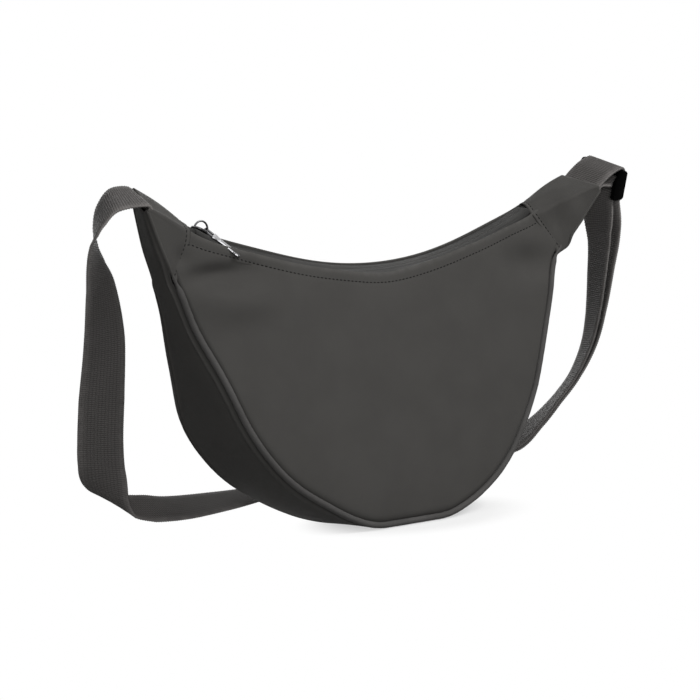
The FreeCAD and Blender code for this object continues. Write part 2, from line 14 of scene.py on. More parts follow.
import bmesh
import bpy
import numpy as np
from mathutils import Matrix, Vector


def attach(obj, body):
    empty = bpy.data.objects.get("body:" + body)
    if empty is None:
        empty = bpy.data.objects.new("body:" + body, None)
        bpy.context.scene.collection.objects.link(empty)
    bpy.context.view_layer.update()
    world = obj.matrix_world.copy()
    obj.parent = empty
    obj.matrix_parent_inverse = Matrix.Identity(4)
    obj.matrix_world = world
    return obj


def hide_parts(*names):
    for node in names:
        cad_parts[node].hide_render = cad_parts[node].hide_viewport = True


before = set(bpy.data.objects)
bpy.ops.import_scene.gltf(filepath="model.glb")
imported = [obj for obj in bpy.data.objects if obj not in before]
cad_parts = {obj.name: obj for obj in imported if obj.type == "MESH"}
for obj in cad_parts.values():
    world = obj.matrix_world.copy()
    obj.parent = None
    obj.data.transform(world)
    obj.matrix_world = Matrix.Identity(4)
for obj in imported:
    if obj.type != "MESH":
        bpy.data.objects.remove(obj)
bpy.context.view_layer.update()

log = logging.getLogger("half_moon_bag")

MM = 0.001
TINY = 1e-12
NUMBER, VECTOR = "NodeSocketFloat", "NodeSocketVector"
GEOMETRY, MATERIAL = "NodeSocketGeometry", "NodeSocketMaterial"
X_AXIS, Y_AXIS, Z_AXIS = np.eye(3)
WHITE = (1.0, 1.0, 1.0, 1.0)
Colour = tuple[float, float, float]
Triple = tuple[float, float, float]
Pair = tuple[float, float]
Steps = tuple[float, float, int]
Array = np.ndarray
Shape = tuple[Array, list]
Piece = bpy.types.Object
Material = bpy.types.Material
Tree = bpy.types.NodeTree
Socket = bpy.types.NodeSocket


class Sign(Enum):
    """A choice between two opposite ways, with the sign of an axis as its value."""

    @property
    def label(self) -> str:
        """Word used in the names of pieces."""
        return self.name.lower()


class Side(Sign):
    """The two faces of the bag, with the sign of Y that each one faces."""

    FRONT = -1
    BACK = 1


class Hand(Sign):
    """The two ends of the bag, with the sign of X of each one."""

    LEFT = -1
    RIGHT = 1


class Weave(Enum):
    """Ways in which threads cross, with the slant of their steps."""

    PLAIN = 0.0
    TWILL = 1.0


def unit(vectors: Array) -> Array:
    """Scale vectors along the last axis to length 1."""
    return vectors / np.maximum(np.linalg.norm(vectors, axis=-1, keepdims=True), TINY)


def ease(values: Array | float) -> Array | float:
    """Smooth step from 0 to 1 of numbers that are first held between 0 and 1."""
    held = np.clip(values, 0.0, 1.0)
    return held * held * (3.0 - 2.0 * held)


def bell(values: Array) -> Array:
    """Bell curve that is 1 at 0 and falls off on both sides."""
    return np.exp(-values ** 2)


def normals(points: Array) -> Array:
    """Directions square to a grid of points."""
    return unit(np.cross(np.gradient(points, axis=0), np.gradient(points, axis=1)))


def distances(points: Array, axis: int = 0) -> Array:
    """Distances from the first point, measured along an axis of a grid or line of points."""
    steps = np.linalg.norm(np.diff(points, axis=axis), axis=-1)
    return np.insert(np.cumsum(steps, axis=axis), 0, 0.0, axis=axis)


def resampled(points: Array, count: int) -> Array:
    """Spread points evenly along a line.

    Args:
        points: Corners of the line, one row each.
        count: How many points to return.

    Returns:
        The new points, with the line's two ends among them.
    """
    along = distances(points)
    wanted = np.linspace(0.0, along[-1], count)
    return np.stack([np.interp(wanted, along, column) for column in points.T], axis=1)


def node_operator(operation: str, turned: bool = False) -> Callable[["Field", object], "Field"]:
    """Make an operator of fields.

    Args:
        operation: Blender's name for the operation.
        turned: Whether the field stands second.

    Returns:
        The operator, for use as a method of Field.
    """
    def reckon(own: "Field", other: object) -> "Field":
        """Add the math node."""
        return own.graph.math(operation, *((other, own) if turned else (own, other)))
    return reckon


class Field:
    """A node's output that can be reckoned with like a number."""

    __add__ = node_operator("ADD")
    __sub__, __rsub__ = node_operator("SUBTRACT"), node_operator("SUBTRACT", True)
    __mul__ = node_operator("MULTIPLY")
    __truediv__, __rtruediv__ = node_operator("DIVIDE"), node_operator("DIVIDE", True)

    def __init__(self, graph: "Graph", socket: Socket) -> None:
        """Take the output and the graph that it belongs to."""
        self.graph, self.socket = graph, socket

    def of(self, operation: str) -> "Field":
        """A function of the field alone, by Blender's name for it."""
        return self.graph.math(operation, self)


class Graph:
    """Short calls that fill a node tree."""

    def __init__(self, tree: Tree) -> None:
        """Take the tree that the calls will fill."""
        self.tree = tree

    @classmethod
    def cleared(cls, owner: Material | bpy.types.World) -> "Graph":
        """Empty the nodes of a material or world.

        Args:
            owner: The material or world.

        Returns:
            A graph that fills it.
        """
        owner.use_nodes = True
        owner.node_tree.nodes.clear()
        return cls(owner.node_tree)

    @classmethod
    def started(cls, name: str, kind: str,
                inputs: dict[str, str]) -> tuple["Graph", dict[str, Field]]:
        """Start a node tree of its own.

        Args:
            name: Name of the tree.
            kind: Blender's name for the tree's type.
            inputs: Socket type of each named input.

        Returns:
            A graph that fills the tree, and the inputs by name.
        """
        graph = cls(bpy.data.node_groups.new(name, kind))
        for label, socket in inputs.items():
            graph.tree.interface.new_socket(label, in_out="INPUT", socket_type=socket)
        return graph, graph.parts("NodeGroupInput")

    def ended(self, outputs: dict[str, Field], kind: str = NUMBER) -> Tree:
        """Close a tree of its own.

        Args:
            outputs: What it puts out, by name.
            kind: Socket type of the outputs.

        Returns:
            The finished tree.
        """
        for label in outputs:
            self.tree.interface.new_socket(label, in_out="OUTPUT", socket_type=kind)
        self.node("NodeGroupOutput", outputs)
        return self.tree

    def node(self, kind: str, inputs: dict | None = None, **settings: object) -> bpy.types.Node:
        """Add a node.

        Args:
            kind: Blender's name for the node's type.
            inputs: Values or fields for the node's inputs, by name or number.
            **settings: Properties of the node itself.

        Returns:
            The new node.
        """
        node = self.tree.nodes.new(kind)
        for key, value in settings.items():
            setattr(node, key, value)
        for key, value in (inputs or {}).items():
            self.feed(node.inputs[key], value)
        return node

    def feed(self, socket: Socket, value: object) -> None:
        """Link a field into an input, or set the input's own value.

        Args:
            socket: The input.
            value: A field or a plain value.
        """
        if isinstance(value, Field):
            self.tree.links.new(value.socket, socket)
        else:
            socket.default_value = value

    def add(self, kind: str, inputs: dict | None = None, output: int | str = 0,
            **settings: object) -> Field:
        """Add a node and return one of its outputs."""
        return Field(self, self.node(kind, inputs, **settings).outputs[output])

    def parts(self, kind: str, inputs: dict | None = None, **settings: object) -> dict[str, Field]:
        """Add a node and return its outputs by name."""
        sockets = self.node(kind, inputs, **settings).outputs
        return {socket.name: Field(self, socket) for socket in sockets}

    def math(self, operation: str, first: object, second: object = 0.0) -> Field:
        """Add a math node by Blender's name for its operation."""
        return self.add("ShaderNodeMath", {0: first, 1: second}, operation=operation)

    def vector(self, operation: str, first: object, second: object) -> Field:
        """Add a vector math node. The second value is a number where it scales the first."""
        slot = "Scale" if operation == "SCALE" else 1
        return self.add("ShaderNodeVectorMath", {0: first, slot: second}, operation=operation)

    def split(self, vector: Field) -> dict[str, Field]:
        """X, Y and Z of a vector."""
        return self.parts("ShaderNodeSeparateXYZ", {0: vector})

    def xyz(self, **parts: object) -> Field:
        """A vector from its X, Y and Z, which are 0 where they aren't given."""
        return self.add("ShaderNodeCombineXYZ", parts)

    def range(self, value: object, low: float, high: float, to_low: float = 0.0,
              to_high: float = 1.0) -> Field:
        """Map a span of values, from low to high, onto another, eased at both ends."""
        ends = {"From Min": low, "From Max": high, "To Min": to_low, "To Max": to_high}
        return self.add("ShaderNodeMapRange", {"Value": value, **ends},
                        interpolation_type="SMOOTHSTEP")

    def mix(self, factor: object, first: object, second: object) -> Field:
        """Blend two colours.

        Args:
            factor: How much of the second colour, as a value or field.
            first: First colour or field.
            second: Second colour or field.

        Returns:
            The blended colour.
        """
        node = self.node("ShaderNodeMix", {"Factor": factor}, data_type="RGBA")
        sockets = (item for item in node.inputs if item.type == "RGBA")
        for socket, colour in zip(sockets, (first, second)):
            self.feed(socket, colour)
        return Field(self, next(item for item in node.outputs if item.type == "RGBA"))

    def noise(self, place: Field, scale: object, detail: float, **more: object) -> Field:
        """Noise at a place, with Blender's own values for what isn't given."""
        inputs = {"Vector": place, "Scale": scale, "Detail": detail, **more}
        return self.add("ShaderNodeTexNoise", inputs)

    def bump(self, height: Field, strength: float, distance: float) -> Field:
        """Normals that show a height."""
        inputs = {"Height": height, "Strength": strength, "Distance": distance}
        return self.add("ShaderNodeBump", inputs)

    def group(self, tree: Tree, **inputs: object) -> dict[str, Field]:
        """Use a shared shader group and return its outputs by name."""
        return self.parts("ShaderNodeGroup", inputs, node_tree=tree)

    def attribute(self, name: str, output: str = "Fac") -> Field:
        """A named attribute of the piece that wears the material."""
        return self.add("ShaderNodeAttribute", None, output, attribute_name=name)


class Effects:
    """Shader node groups that several finishes share, each built once."""

    KIND = "ShaderNodeTree"
    CROSSING = 0.12
    GAP_START = 0.45
    FINER = 23.0
    ROUGHNESS = 0.55
    SPREAD = (0.3, 0.7)
    RUB_AND_HIGHLIGHT_SPREAD = (0.25, 0.75, 0.35, 1.0)

    @staticmethod
    @cache
    def weave() -> Tree:
        """Threads that pass over and under each other.

        Returns:
            A group that turns a place on the cloth into thread height and thread gaps.
        """
        inputs = {"Place": VECTOR, "Pitch": NUMBER, "Slant": NUMBER}
        graph, given = Graph.started("Woven threads", Effects.KIND, inputs)
        spot = graph.split(given["Place"])
        half_turn = math.pi / given["Pitch"]
        along, across = spot["X"] * half_turn, spot["Y"] * half_turn
        weft, warp = (way.of("SINE").of("ABSOLUTE") for way in (along, across))
        crossing = (along + across * given["Slant"]).of("SINE") * across.of("SINE")
        over = graph.range(crossing, -Effects.CROSSING, Effects.CROSSING)
        height = over * warp + (1.0 - over) * weft
        return graph.ended({"Height": height, "Gap": graph.range(height, Effects.GAP_START, 0.0)})

    @staticmethod
    @cache
    def mottle() -> Tree:
        """Slow and fine changes of tone over a surface.

        Returns:
            A group that turns a place into broad and fine variation between 0 and 1.
        """
        graph, given = Graph.started("Mottle", Effects.KIND, {"Place": VECTOR, "Patch": NUMBER})
        scale = 1.0 / given["Patch"]
        broad = graph.noise(given["Place"], scale, 3.0, Roughness=Effects.ROUGHNESS)
        fine = graph.noise(given["Place"], scale * Effects.FINER, 2.0)
        return graph.ended({"Broad": graph.range(broad, *Effects.SPREAD),
                            "Fine": graph.range(fine, *Effects.SPREAD)})

    @staticmethod
    @cache
    def edge_wear_and_highlight() -> Tree:
        """Folds and edges lightened by rub marks and by painted highlight, broken up by noise.

        Returns:
            A group that turns the share of an edge into a mask.
        """
        inputs = {"Edge": NUMBER, "Place": VECTOR, "Grain": NUMBER}
        graph, given = Graph.started("Rubbed and highlighted edge", Effects.KIND, inputs)
        noise = graph.noise(given["Place"], 1.0 / given["Grain"], 4.0)
        return graph.ended({"Mask": given["Edge"] * graph.range(noise, *Effects.RUB_AND_HIGHLIGHT_SPREAD)})


@dataclass(frozen=True)
class Coat:
    """What all finishes share: a name, a colour and the making of a material."""

    name: str
    colour: Colour

    def tint(self, share: float) -> tuple[float, ...]:
        """The colour made darker or lighter, with full alpha."""
        return tuple(part * share for part in self.colour) + (1.0,)

    def looks(self, graph: Graph, spot: dict[str, Field]) -> dict[str, object]:
        """Inputs of the shader, which every finish works out from the places on a piece."""
        raise NotImplementedError

    def build(self) -> Material:
        """Make the material.

        Returns:
            A material with one shader.
        """
        material = bpy.data.materials.new(self.name)
        graph = Graph.cleared(material)
        looks = self.looks(graph, graph.parts("ShaderNodeTexCoord"))
        shader = graph.add("ShaderNodeBsdfPrincipled", looks)
        graph.node("ShaderNodeOutputMaterial", {"Surface": shader})
        return material


@dataclass(frozen=True)
class Cloth(Coat):
    """A woven finish: its threads, gloss, painted shade, and edges lightened by rub marks and
    painted highlight.
    """

    thread: float
    weave: Weave = Weave.PLAIN
    relief: float = 0.04 * MM
    relief_strength: float = 0.6
    roughness: float = 0.72
    uneven_gloss: float = 0.06
    sheen: float = 0.03
    sheen_roughness: float = 0.45
    specular: float = 0.025
    contrast: float = 0.10
    patch: float = 30.0 * MM
    # Edges and folds lightened partly by rub marks and partly by painted highlight.
    rub_and_highlight: float = 0.42
    rub_and_highlight_tint: float = 1.9
    rub_and_highlight_grain: float = 6.0 * MM
    # Painted shade in the gaps between threads, along marked seams, lips and rib hollows, and
    # between webbing columns.
    gap_shade: float = 0.35
    gap_tint: float = 0.5
    groove_shade: float = 0.0
    groove_tint: float = 0.35
    columns: float = 0.0
    column_shade: float = 0.6
    column_width: float = 0.6
    column_tint: float = 0.4

    def looks(self, graph: Graph, spot: dict[str, Field]) -> dict[str, object]:
        """Work out the cloth's looks from the piece's own weave attribute, its edge attribute for
        rub marks and painted highlight, and its attribute of painted shade.

        Args:
            graph: Graph of the material.
            spot: Places on the piece, by kind.

        Returns:
            Inputs of the shader.
        """
        place = graph.attribute("weave", "Vector")
        threads = graph.group(Effects.weave(), Place=place, Pitch=self.thread,
                              Slant=self.weave.value)
        tone = graph.group(Effects.mottle(), Place=spot["Object"], Patch=self.patch)
        # Mask of the edges lightened by rub marks and painted highlight.
        rubbed_and_lit = graph.group(Effects.edge_wear_and_highlight(), Edge=graph.attribute("edge"), Place=spot["Object"],
                           Grain=self.rub_and_highlight_grain)
        # Painted shade darkens the colour in thread gaps, along the seams, lips and rib hollows
        # that the piece's attribute marks, and between webbing columns; the last mix lightens edges
        # with rub marks and painted highlight.
        shades = [(threads["Gap"] * self.gap_shade, self.gap_tint)]
        if self.groove_shade:
            shades.append((graph.attribute("painted_shade") * self.groove_shade, self.groove_tint))
        if self.columns:
            wave = (graph.split(place)["Y"] * (math.pi / self.columns)).of("SINE").of("ABSOLUTE")
            line = graph.range(wave, 0.0, self.column_width, self.column_shade, 0.0)
            shades.append((line, self.column_tint))
        shades.append((rubbed_and_lit["Mask"] * self.rub_and_highlight, self.rub_and_highlight_tint))
        body = graph.mix(tone["Broad"], self.tint(1 - self.contrast), self.tint(1 + self.contrast))
        for share, tint in shades:
            body = graph.mix(share, body, self.tint(tint))
        gloss = graph.range(tone["Fine"], 0.0, 1.0, self.roughness - self.uneven_gloss,
                            self.roughness + self.uneven_gloss)
        return {"Base Color": body, "Roughness": gloss, "Specular IOR Level": self.specular,
                "Normal": graph.bump(threads["Height"], self.relief_strength, self.relief),
                "Sheen Weight": self.sheen, "Sheen Roughness": self.sheen_roughness}


@dataclass(frozen=True)
class Plate(Coat):
    """Polished metal plating with fine rub marks and painted shade: its colour is darker where it
    faces the dark ground.
    """

    roughness: float
    uneven_gloss: float = 0.06
    # Painted shade: heights of the normal over which the colour rises from its darkest share to
    # full.
    facing: Pair = (0.0, 0.85)
    shade_and_tarnish: float = 0.22
    tarnish: float = 0.12
    patch: float = 4.0 * MM
    streaks: Triple = (600.0, 9000.0, 600.0)
    marked: Pair = (0.45, 0.75)
    mark_gloss: float = 0.10
    relief: float = 0.01 * MM
    relief_strength: float = 0.15

    def looks(self, graph: Graph, spot: dict[str, Field]) -> dict[str, object]:
        """Work out the metal's looks.

        Args:
            graph: Graph of the material.
            spot: Places on the piece, by kind.

        Returns:
            Inputs of the shader.
        """
        tone = graph.group(Effects.mottle(), Place=spot["Object"], Patch=self.patch)
        streaks = graph.add("ShaderNodeMapping", {"Vector": spot["Object"], "Scale": self.streaks})
        lines = graph.noise(streaks, 1.0, 2.0)
        # Painted shade: faces that turn downwards get a darker colour; tarnish then blends in the
        # same darker tone by noise.
        painted_light_share = graph.range(graph.split(spot["Normal"])["Z"], *self.facing)
        body = graph.mix(painted_light_share, self.tint(self.shade_and_tarnish), self.tint(1.0))
        body = graph.mix(tone["Broad"] * self.tarnish, body, self.tint(self.shade_and_tarnish))
        gloss = graph.range(tone["Fine"], 0.0, 1.0, self.roughness,
                            self.roughness + self.uneven_gloss)
        return {"Base Color": body, "Metallic": 1.0,
                "Roughness": graph.range(lines, *self.marked) * self.mark_gloss + gloss,
                "Normal": graph.bump(lines, self.relief_strength, self.relief)}


@dataclass(frozen=True)
class Moulding(Coat):
    """Moulded plastic with a fine grain."""

    roughness: float
    grain: float
    specular: float = 0.12
    tones: Pair = (0.8, 1.25)
    uneven_gloss: Pair = (-0.05, 0.08)
    relief: float = 0.04 * MM
    relief_strength: float = 0.25

    def looks(self, graph: Graph, spot: dict[str, Field]) -> dict[str, object]:
        """Work out the plastic's looks.

        Args:
            graph: Graph of the material.
            spot: Places on the piece, by kind.

        Returns:
            Inputs of the shader.
        """
        tone = graph.group(Effects.mottle(), Place=spot["Object"], Patch=Effects.FINER * self.grain)
        gloss = (self.roughness + change for change in self.uneven_gloss)
        return {"Base Color": graph.mix(tone["Broad"], *map(self.tint, self.tones)),
                "Roughness": graph.range(tone["Broad"], 0.0, 1.0, *gloss),
                "Normal": graph.bump(tone["Fine"], self.relief_strength, self.relief),
                "Specular IOR Level": self.specular}


class Finish(Enum):
    """Every finish of the bag, with the slot of the record that it fills."""

    SHELL = ("shell_cloth", Cloth("Charcoal satin cloth", (0.064, 0.062, 0.0588), 0.42 * MM,
                                  contrast=0.04, groove_shade=0.68))
    LINING = ("lining_cloth", Cloth("Lining cloth", (0.045, 0.044, 0.043), 0.5 * MM, sheen=0.05))
    PIPING = ("piping_cloth", Cloth("Piping cloth", (0.078, 0.0755, 0.0735), 0.42 * MM,
                                    Weave.TWILL))
    FILLER = ("piping_filler", Cloth("Twisted filler cord", (0.55, 0.53, 0.49), 0.8 * MM,
                                     Weave.TWILL, relief=0.1 * MM, specular=0.1))
    WEBBING = ("webbing", Cloth("Ribbed webbing", (0.135, 0.128, 0.124), 0.75 * MM, relief=0.1 * MM,
                                roughness=0.55, contrast=0.08, gap_shade=0.4, groove_shade=0.75,
                                columns=2.3 * MM))
    TAPE = ("zip_tape", Cloth("Zip tape", (0.066, 0.065, 0.063), 0.6 * MM, relief=0.06 * MM,
                              groove_shade=0.85))
    COIL = ("zip_coil", Moulding("Zip coil", (0.030, 0.029, 0.029), 0.34, 0.2 * MM))
    METAL = ("plated_metal", Plate("Nickel plating", (0.20, 0.20, 0.205), 0.34))
    PLASTIC = ("black_plastic", Moulding("Black moulded plastic", (0.001, 0.001, 0.001), 0.65,
                                         0.15 * MM, 0.01))
    THREAD = ("shell_cloth", Cloth("Sewing thread", (0.014, 0.0137, 0.0133), 0.25 * MM, Weave.TWILL,
                                   roughness=0.5, sheen=0.05))

    @property
    def slot(self) -> str:
        """Name of the record's material slot."""
        return self.value[0]

    def material(self) -> Material:
        """The finish's one material, made on first use."""
        recipe = self.value[1]
        return bpy.data.materials.get(recipe.name) or recipe.build()


@dataclass
class Skin:
    """A grid of points on one face of a cloth, with named values such as its weave places."""

    points: Array
    fields: dict[str, Array]


def linked(mesh: bpy.types.Mesh, fields: dict[str, Array]) -> Piece:
    """Write named attributes to a mesh and put it into the scene.

    Args:
        mesh: The mesh, whose name the object takes.
        fields: Numbers, or places of two or three parts, with one row for each point.

    Returns:
        The new object.
    """
    for label, rows in fields.items():
        kind, member = ("FLOAT_VECTOR", "vector") if rows.ndim == 2 else ("FLOAT", "value")
        if rows.ndim == 2:
            rows = np.pad(rows, ((0, 0), (0, 3 - rows.shape[1])))
        written = mesh.attributes.new(label, kind, "POINT")
        written.data.foreach_set(member, rows.astype(np.float32).ravel())
    piece = bpy.data.objects.new(mesh.name, mesh)
    bpy.context.scene.collection.objects.link(piece)
    return piece


def new_piece(name: str, vertices: Array, faces: list, crease: float = 40.0,
              **fields: Array) -> Piece:
    """Make a smooth mesh object in the frame's axes.

    Args:
        name: Name of the piece.
        vertices: Points, one row each.
        faces: Corner numbers of every face, turned outwards.
        crease: Angle in degrees past which an edge stays sharp.
        **fields: Named attributes with one row for each point.

    Returns:
        The new object.
    """
    mesh = bpy.data.meshes.new(name)
    mesh.from_pydata(np.asarray(vertices).tolist(), [], faces)
    mesh.shade_smooth()
    mesh.set_sharp_from_angle(angle=math.radians(crease))
    return linked(mesh, fields)


def path_piece(name: str, line: Array, **fields: Array) -> Piece:
    """Make an object of one open line that a tree can follow.

    Args:
        name: Name of the piece.
        line: Points of the line.
        **fields: Named directions or numbers at every point.

    Returns:
        The new object.
    """
    mesh = bpy.data.meshes.new(name)
    mesh.from_pydata(line.tolist(), [(step, step + 1) for step in range(len(line) - 1)], [])
    return linked(mesh, fields)


def thick_sheet(name: str, skin: Skin, thickness: float, rim_bulge: float = 0.45,
                crease: float = 75.0) -> Piece:
    """Give a cloth face its thickness and a rounded rim all round.

    Args:
        name: Name of the piece.
        skin: Outer face, turned outwards.
        thickness: Thickness of the cloth.
        rim_bulge: How far the rim stands out, as a share of the thickness.
        crease: Angle in degrees past which an edge stays sharp.

    Returns:
        A closed mesh object.
    """
    rows, columns = skin.points.shape[:2]
    count = rows * columns
    outer, outwards = skin.points.reshape(-1, 3), normals(skin.points).reshape(-1, 3)
    number = np.arange(count).reshape(rows, columns)
    quads = np.stack([number[:-1, :-1], number[1:, :-1], number[1:, 1:], number[:-1, 1:]], axis=-1)
    quads = quads.reshape(-1, 4)
    rim = np.concatenate([number[0, :], number[1:, -1], number[-1, -2::-1], number[-2:0:-1, 0]])
    inside = np.concatenate([number[1, :], number[1:, -2], number[-2, -2::-1], number[-2:0:-1, 1]])
    middle = (outer[rim] - outwards[rim] * (thickness / 2)
              + unit(outer[rim] - outer[inside]) * (thickness * rim_bulge))
    edge = np.arange(len(rim)) + 2 * count
    after = np.roll(np.arange(len(rim)), -1)
    upper = np.stack([rim, rim[after], edge[after], edge], axis=-1)
    lower = np.stack([edge, edge[after], rim[after] + count, rim + count], axis=-1)
    faces = np.concatenate([quads, quads[:, ::-1] + count, upper, lower]).tolist()
    flat = {label: values.reshape((count,) + values.shape[2:])
            for label, values in skin.fields.items()}
    fields = {label: np.concatenate([values, values, values[rim]])
              for label, values in flat.items()}
    points = np.concatenate([outer, outer - outwards * thickness, middle])
    return new_piece(name, points, faces, crease, **fields)


def lofted(sections: Array, closed: bool = False) -> Shape:
    """Join rings of points into a skin.

    Args:
        sections: Rings of points, turned outwards when seen against the row's direction.
        closed: Whether the last ring joins the first, instead of both being capped.

    Returns:
        The points and the faces.
    """
    rings, around = sections.shape[:2]
    number = np.arange(rings * around).reshape(rings, around)
    here = number if closed else number[:-1]
    ahead = np.roll(number, -1, axis=0) if closed else number[1:]
    faces = np.stack([here, np.roll(here, -1, axis=1), np.roll(ahead, -1, axis=1), ahead], axis=-1)
    faces = faces.reshape(-1, 4).tolist()
    if not closed:
        faces += [number[0, ::-1].tolist(), number[-1].tolist()]
    return sections.reshape(-1, 3), faces


def swept(path: Array, side: Array, section: Array, closed: bool) -> Shape:
    """Carry a flat section along a path.

    Args:
        path: Middle of each ring.
        side: Direction of the section's first axis at each ring, or one for all.
        section: Points of the section as offsets along its two axes.
        closed: Whether the path is a loop.

    Returns:
        The points and the faces.
    """
    if closed:
        way = unit(np.roll(path, -1, axis=0) - np.roll(path, 1, axis=0))
    else:
        way = unit(np.gradient(path, axis=0))
    first = np.broadcast_to(side, path.shape)
    first = unit(first - way * np.sum(first * way, axis=1, keepdims=True))
    second = np.cross(way, first)
    rings = (path[:, None] + first[:, None] * section[None, :, :1]
             + second[:, None] * section[None, :, 1:])
    return lofted(rings, closed)


def round_section(radius: float, count: int, squash: float = 1.0) -> Array:
    """Points of a round section, whose height is a share of its width."""
    turn = np.linspace(0.0, 2.0 * math.pi, count, endpoint=False)
    return np.stack([np.cos(turn) * radius, np.sin(turn) * radius * squash], axis=1)


def joined(shapes: list[Shape]) -> Shape:
    """Put several closed shapes into one list of points and faces.

    Args:
        shapes: Points and faces of each shape.

    Returns:
        All points and all faces.
    """
    points, faces, start = [], [], 0
    for vertices, corners in shapes:
        points.append(np.asarray(vertices))
        faces += [[corner + start for corner in face] for face in corners]
        start += len(vertices)
    return np.concatenate(points), faces


def bevelled_prism(outline: list[Pair], low: float, high: float, bevel: float,
                   least_angle: float = 0.3, steps: int = 3) -> Shape:
    """Extrude a flat outline and round all its edges.

    Args:
        outline: Corners in the first two axes, anticlockwise from above.
        low: Bottom on the third axis.
        high: Top on the third axis.
        bevel: Radius of the rounding.
        least_angle: Turn of the surface past which an edge is rounded.
        steps: Faces in each rounding.

    Returns:
        The points and the faces.
    """
    shape = bmesh.new()
    base = shape.faces.new([shape.verts.new((x, y, low)) for x, y in outline])
    base.normal_flip()
    top = bmesh.ops.extrude_face_region(shape, geom=[base])
    lifted = [item for item in top["geom"] if isinstance(item, bmesh.types.BMVert)]
    bmesh.ops.translate(shape, vec=(0.0, 0.0, high - low), verts=lifted)
    bmesh.ops.recalc_face_normals(shape, faces=shape.faces[:])
    sharp = [edge for edge in shape.edges if edge.calc_face_angle(0.0) > least_angle]
    bmesh.ops.bevel(shape, geom=sharp, offset=bevel, segments=steps, profile=0.5, affect="EDGES")
    shape.verts.index_update()
    points = np.array([vertex.co[:] for vertex in shape.verts])
    faces = [[vertex.index for vertex in face.verts] for face in shape.faces]
    shape.free()
    return points, faces


def block(x: Pair, y: Pair, z: Pair, bevel: float) -> Shape:
    """A box between two limits on each axis, with rounded edges."""
    return bevelled_prism([(x[0], y[0]), (x[1], y[0]), (x[1], y[1]), (x[0], y[1])], *z, bevel)


def cheeks(outline: list[Pair], near: float, far: float, bevel: float) -> list[Shape]:
    """Two equal plates that face each other across the third axis."""
    return [bevelled_prism(outline, low, high, bevel) for low, high in ((-far, -near), (near, far))]


def rod(height: float, reach: float, radius: float, steps: int, around: int) -> Shape:
    """A round bar along the third axis.

    Args:
        height: Its place on the second axis.
        reach: Half of its length.
        radius: Its radius.
        steps: Rings along it.
        around: Points of each ring.

    Returns:
        The points and the faces.
    """
    across = np.linspace(-reach, reach, steps)
    line = np.stack([np.zeros(steps), np.full(steps, height), across], 1)
    return swept(line, X_AXIS, round_section(radius, around), closed=False)


def dress(piece: Piece, finish: Finish, *nodes: str, body: str = "bag") -> None:
    """Give a piece its finish and tie it to the frame.

    Args:
        piece: The finished mesh object.
        finish: Its finish.
        *nodes: Nodes of the frame that it stands in for.
        body: Body of the frame that carries it.
    """
    piece.data.materials.clear()
    piece.data.materials.append(finish.material())
    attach(piece, body)
    if nodes:
        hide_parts(*nodes)
    log.info("%s on %s: %d faces", piece.name, body, len(piece.data.polygons))


def fit(name: str, shapes: list[Shape], place: Matrix, crease: float, finish: Finish, node: str,
        body: str) -> None:
    """Join hard shapes into one piece, carry it to its place and dress it.

    Args:
        name: Name of the piece.
        shapes: Points and faces of its shapes.
        place: Turn and shift to its place.
        crease: Angle in degrees past which an edge stays sharp.
        finish: Its finish.
        node: Node of the frame that it stands in for.
        body: Body of the frame that carries it.
    """
    points, faces = joined(shapes)
    table = np.array(place)
    piece = new_piece(name, points @ table[:3, :3].T + table[:3, 3], faces, crease)
    dress(piece, finish, node, body=body)


class FormGraph(Graph):
    """Graph of a geometry node tree, with the steps that several trees share."""

    def named(self, name: str, kind: str = "FLOAT_VECTOR") -> Field:
        """A named attribute of the input geometry."""
        return self.add("GeometryNodeInputNamedAttribute", {"Name": name}, "Attribute",
                        data_type=kind)

    def curve(self, given: dict[str, Field], step: object) -> Field:
        """The tree's input as a curve with even steps."""
        line = self.add("GeometryNodeMeshToCurve", {0: given["Geometry"]})
        return self.add("GeometryNodeResampleCurve", {"Curve": line, "Length": step}, mode="LENGTH")

    def kept(self, geometry: Field, value: Field, kind: str = "FLOAT") -> tuple[Field, Field]:
        """Capture a field on a geometry before it changes form.

        Args:
            geometry: The geometry.
            value: The field.
            kind: Data type of the field.

        Returns:
            The geometry and the captured field.
        """
        node = self.node("GeometryNodeCaptureAttribute", {0: geometry})
        node.capture_items.new(kind, "Kept")
        self.feed(node.inputs[1], value)
        return Field(self, node.outputs[0]), Field(self, node.outputs[1])

    def stored(self, geometry: Field, name: str, value: Field, kind: str = "FLOAT") -> Field:
        """Write a field to a named attribute of a geometry."""
        inputs = {"Geometry": geometry, "Name": name, "Value": value}
        return self.add("GeometryNodeStoreNamedAttribute", inputs, data_type=kind)

    def moved(self, geometry: Field, offset: Field) -> Field:
        """Move the points of a geometry."""
        return self.add("GeometryNodeSetPosition", {"Geometry": geometry, "Offset": offset})

    def lifted(self, geometry: Field, lift: Field) -> Field:
        """Move a surface out along its normals."""
        return self.moved(geometry, self.vector("SCALE", self.add("GeometryNodeInputNormal"), lift))

    def circle(self, corners: int, radius: Field) -> Field:
        """A round section."""
        return self.add("GeometryNodeCurvePrimitiveCircle",
                        {"Resolution": corners, "Radius": radius})

    def swept(self, curve: Field, section: Field, **more: Field) -> Field:
        """Carry a section along a curve and close both ends."""
        inputs = {"Curve": curve, "Profile Curve": section, "Fill Caps": True, **more}
        return self.add("GeometryNodeCurveToMesh", inputs)

    def dressed(self, geometry: Field, material: Field) -> Tree:
        """Close a tree with real geometry, smooth faces and its material.

        Args:
            geometry: What the tree has made.
            material: The tree's material input.

        Returns:
            The finished tree.
        """
        real = self.add("GeometryNodeRealizeInstances", {0: geometry})
        smooth = self.add("GeometryNodeSetShadeSmooth", {0: real})
        coated = self.add("GeometryNodeSetMaterial", {"Geometry": smooth, "Material": material})
        return self.ended({"Geometry": coated}, GEOMETRY)


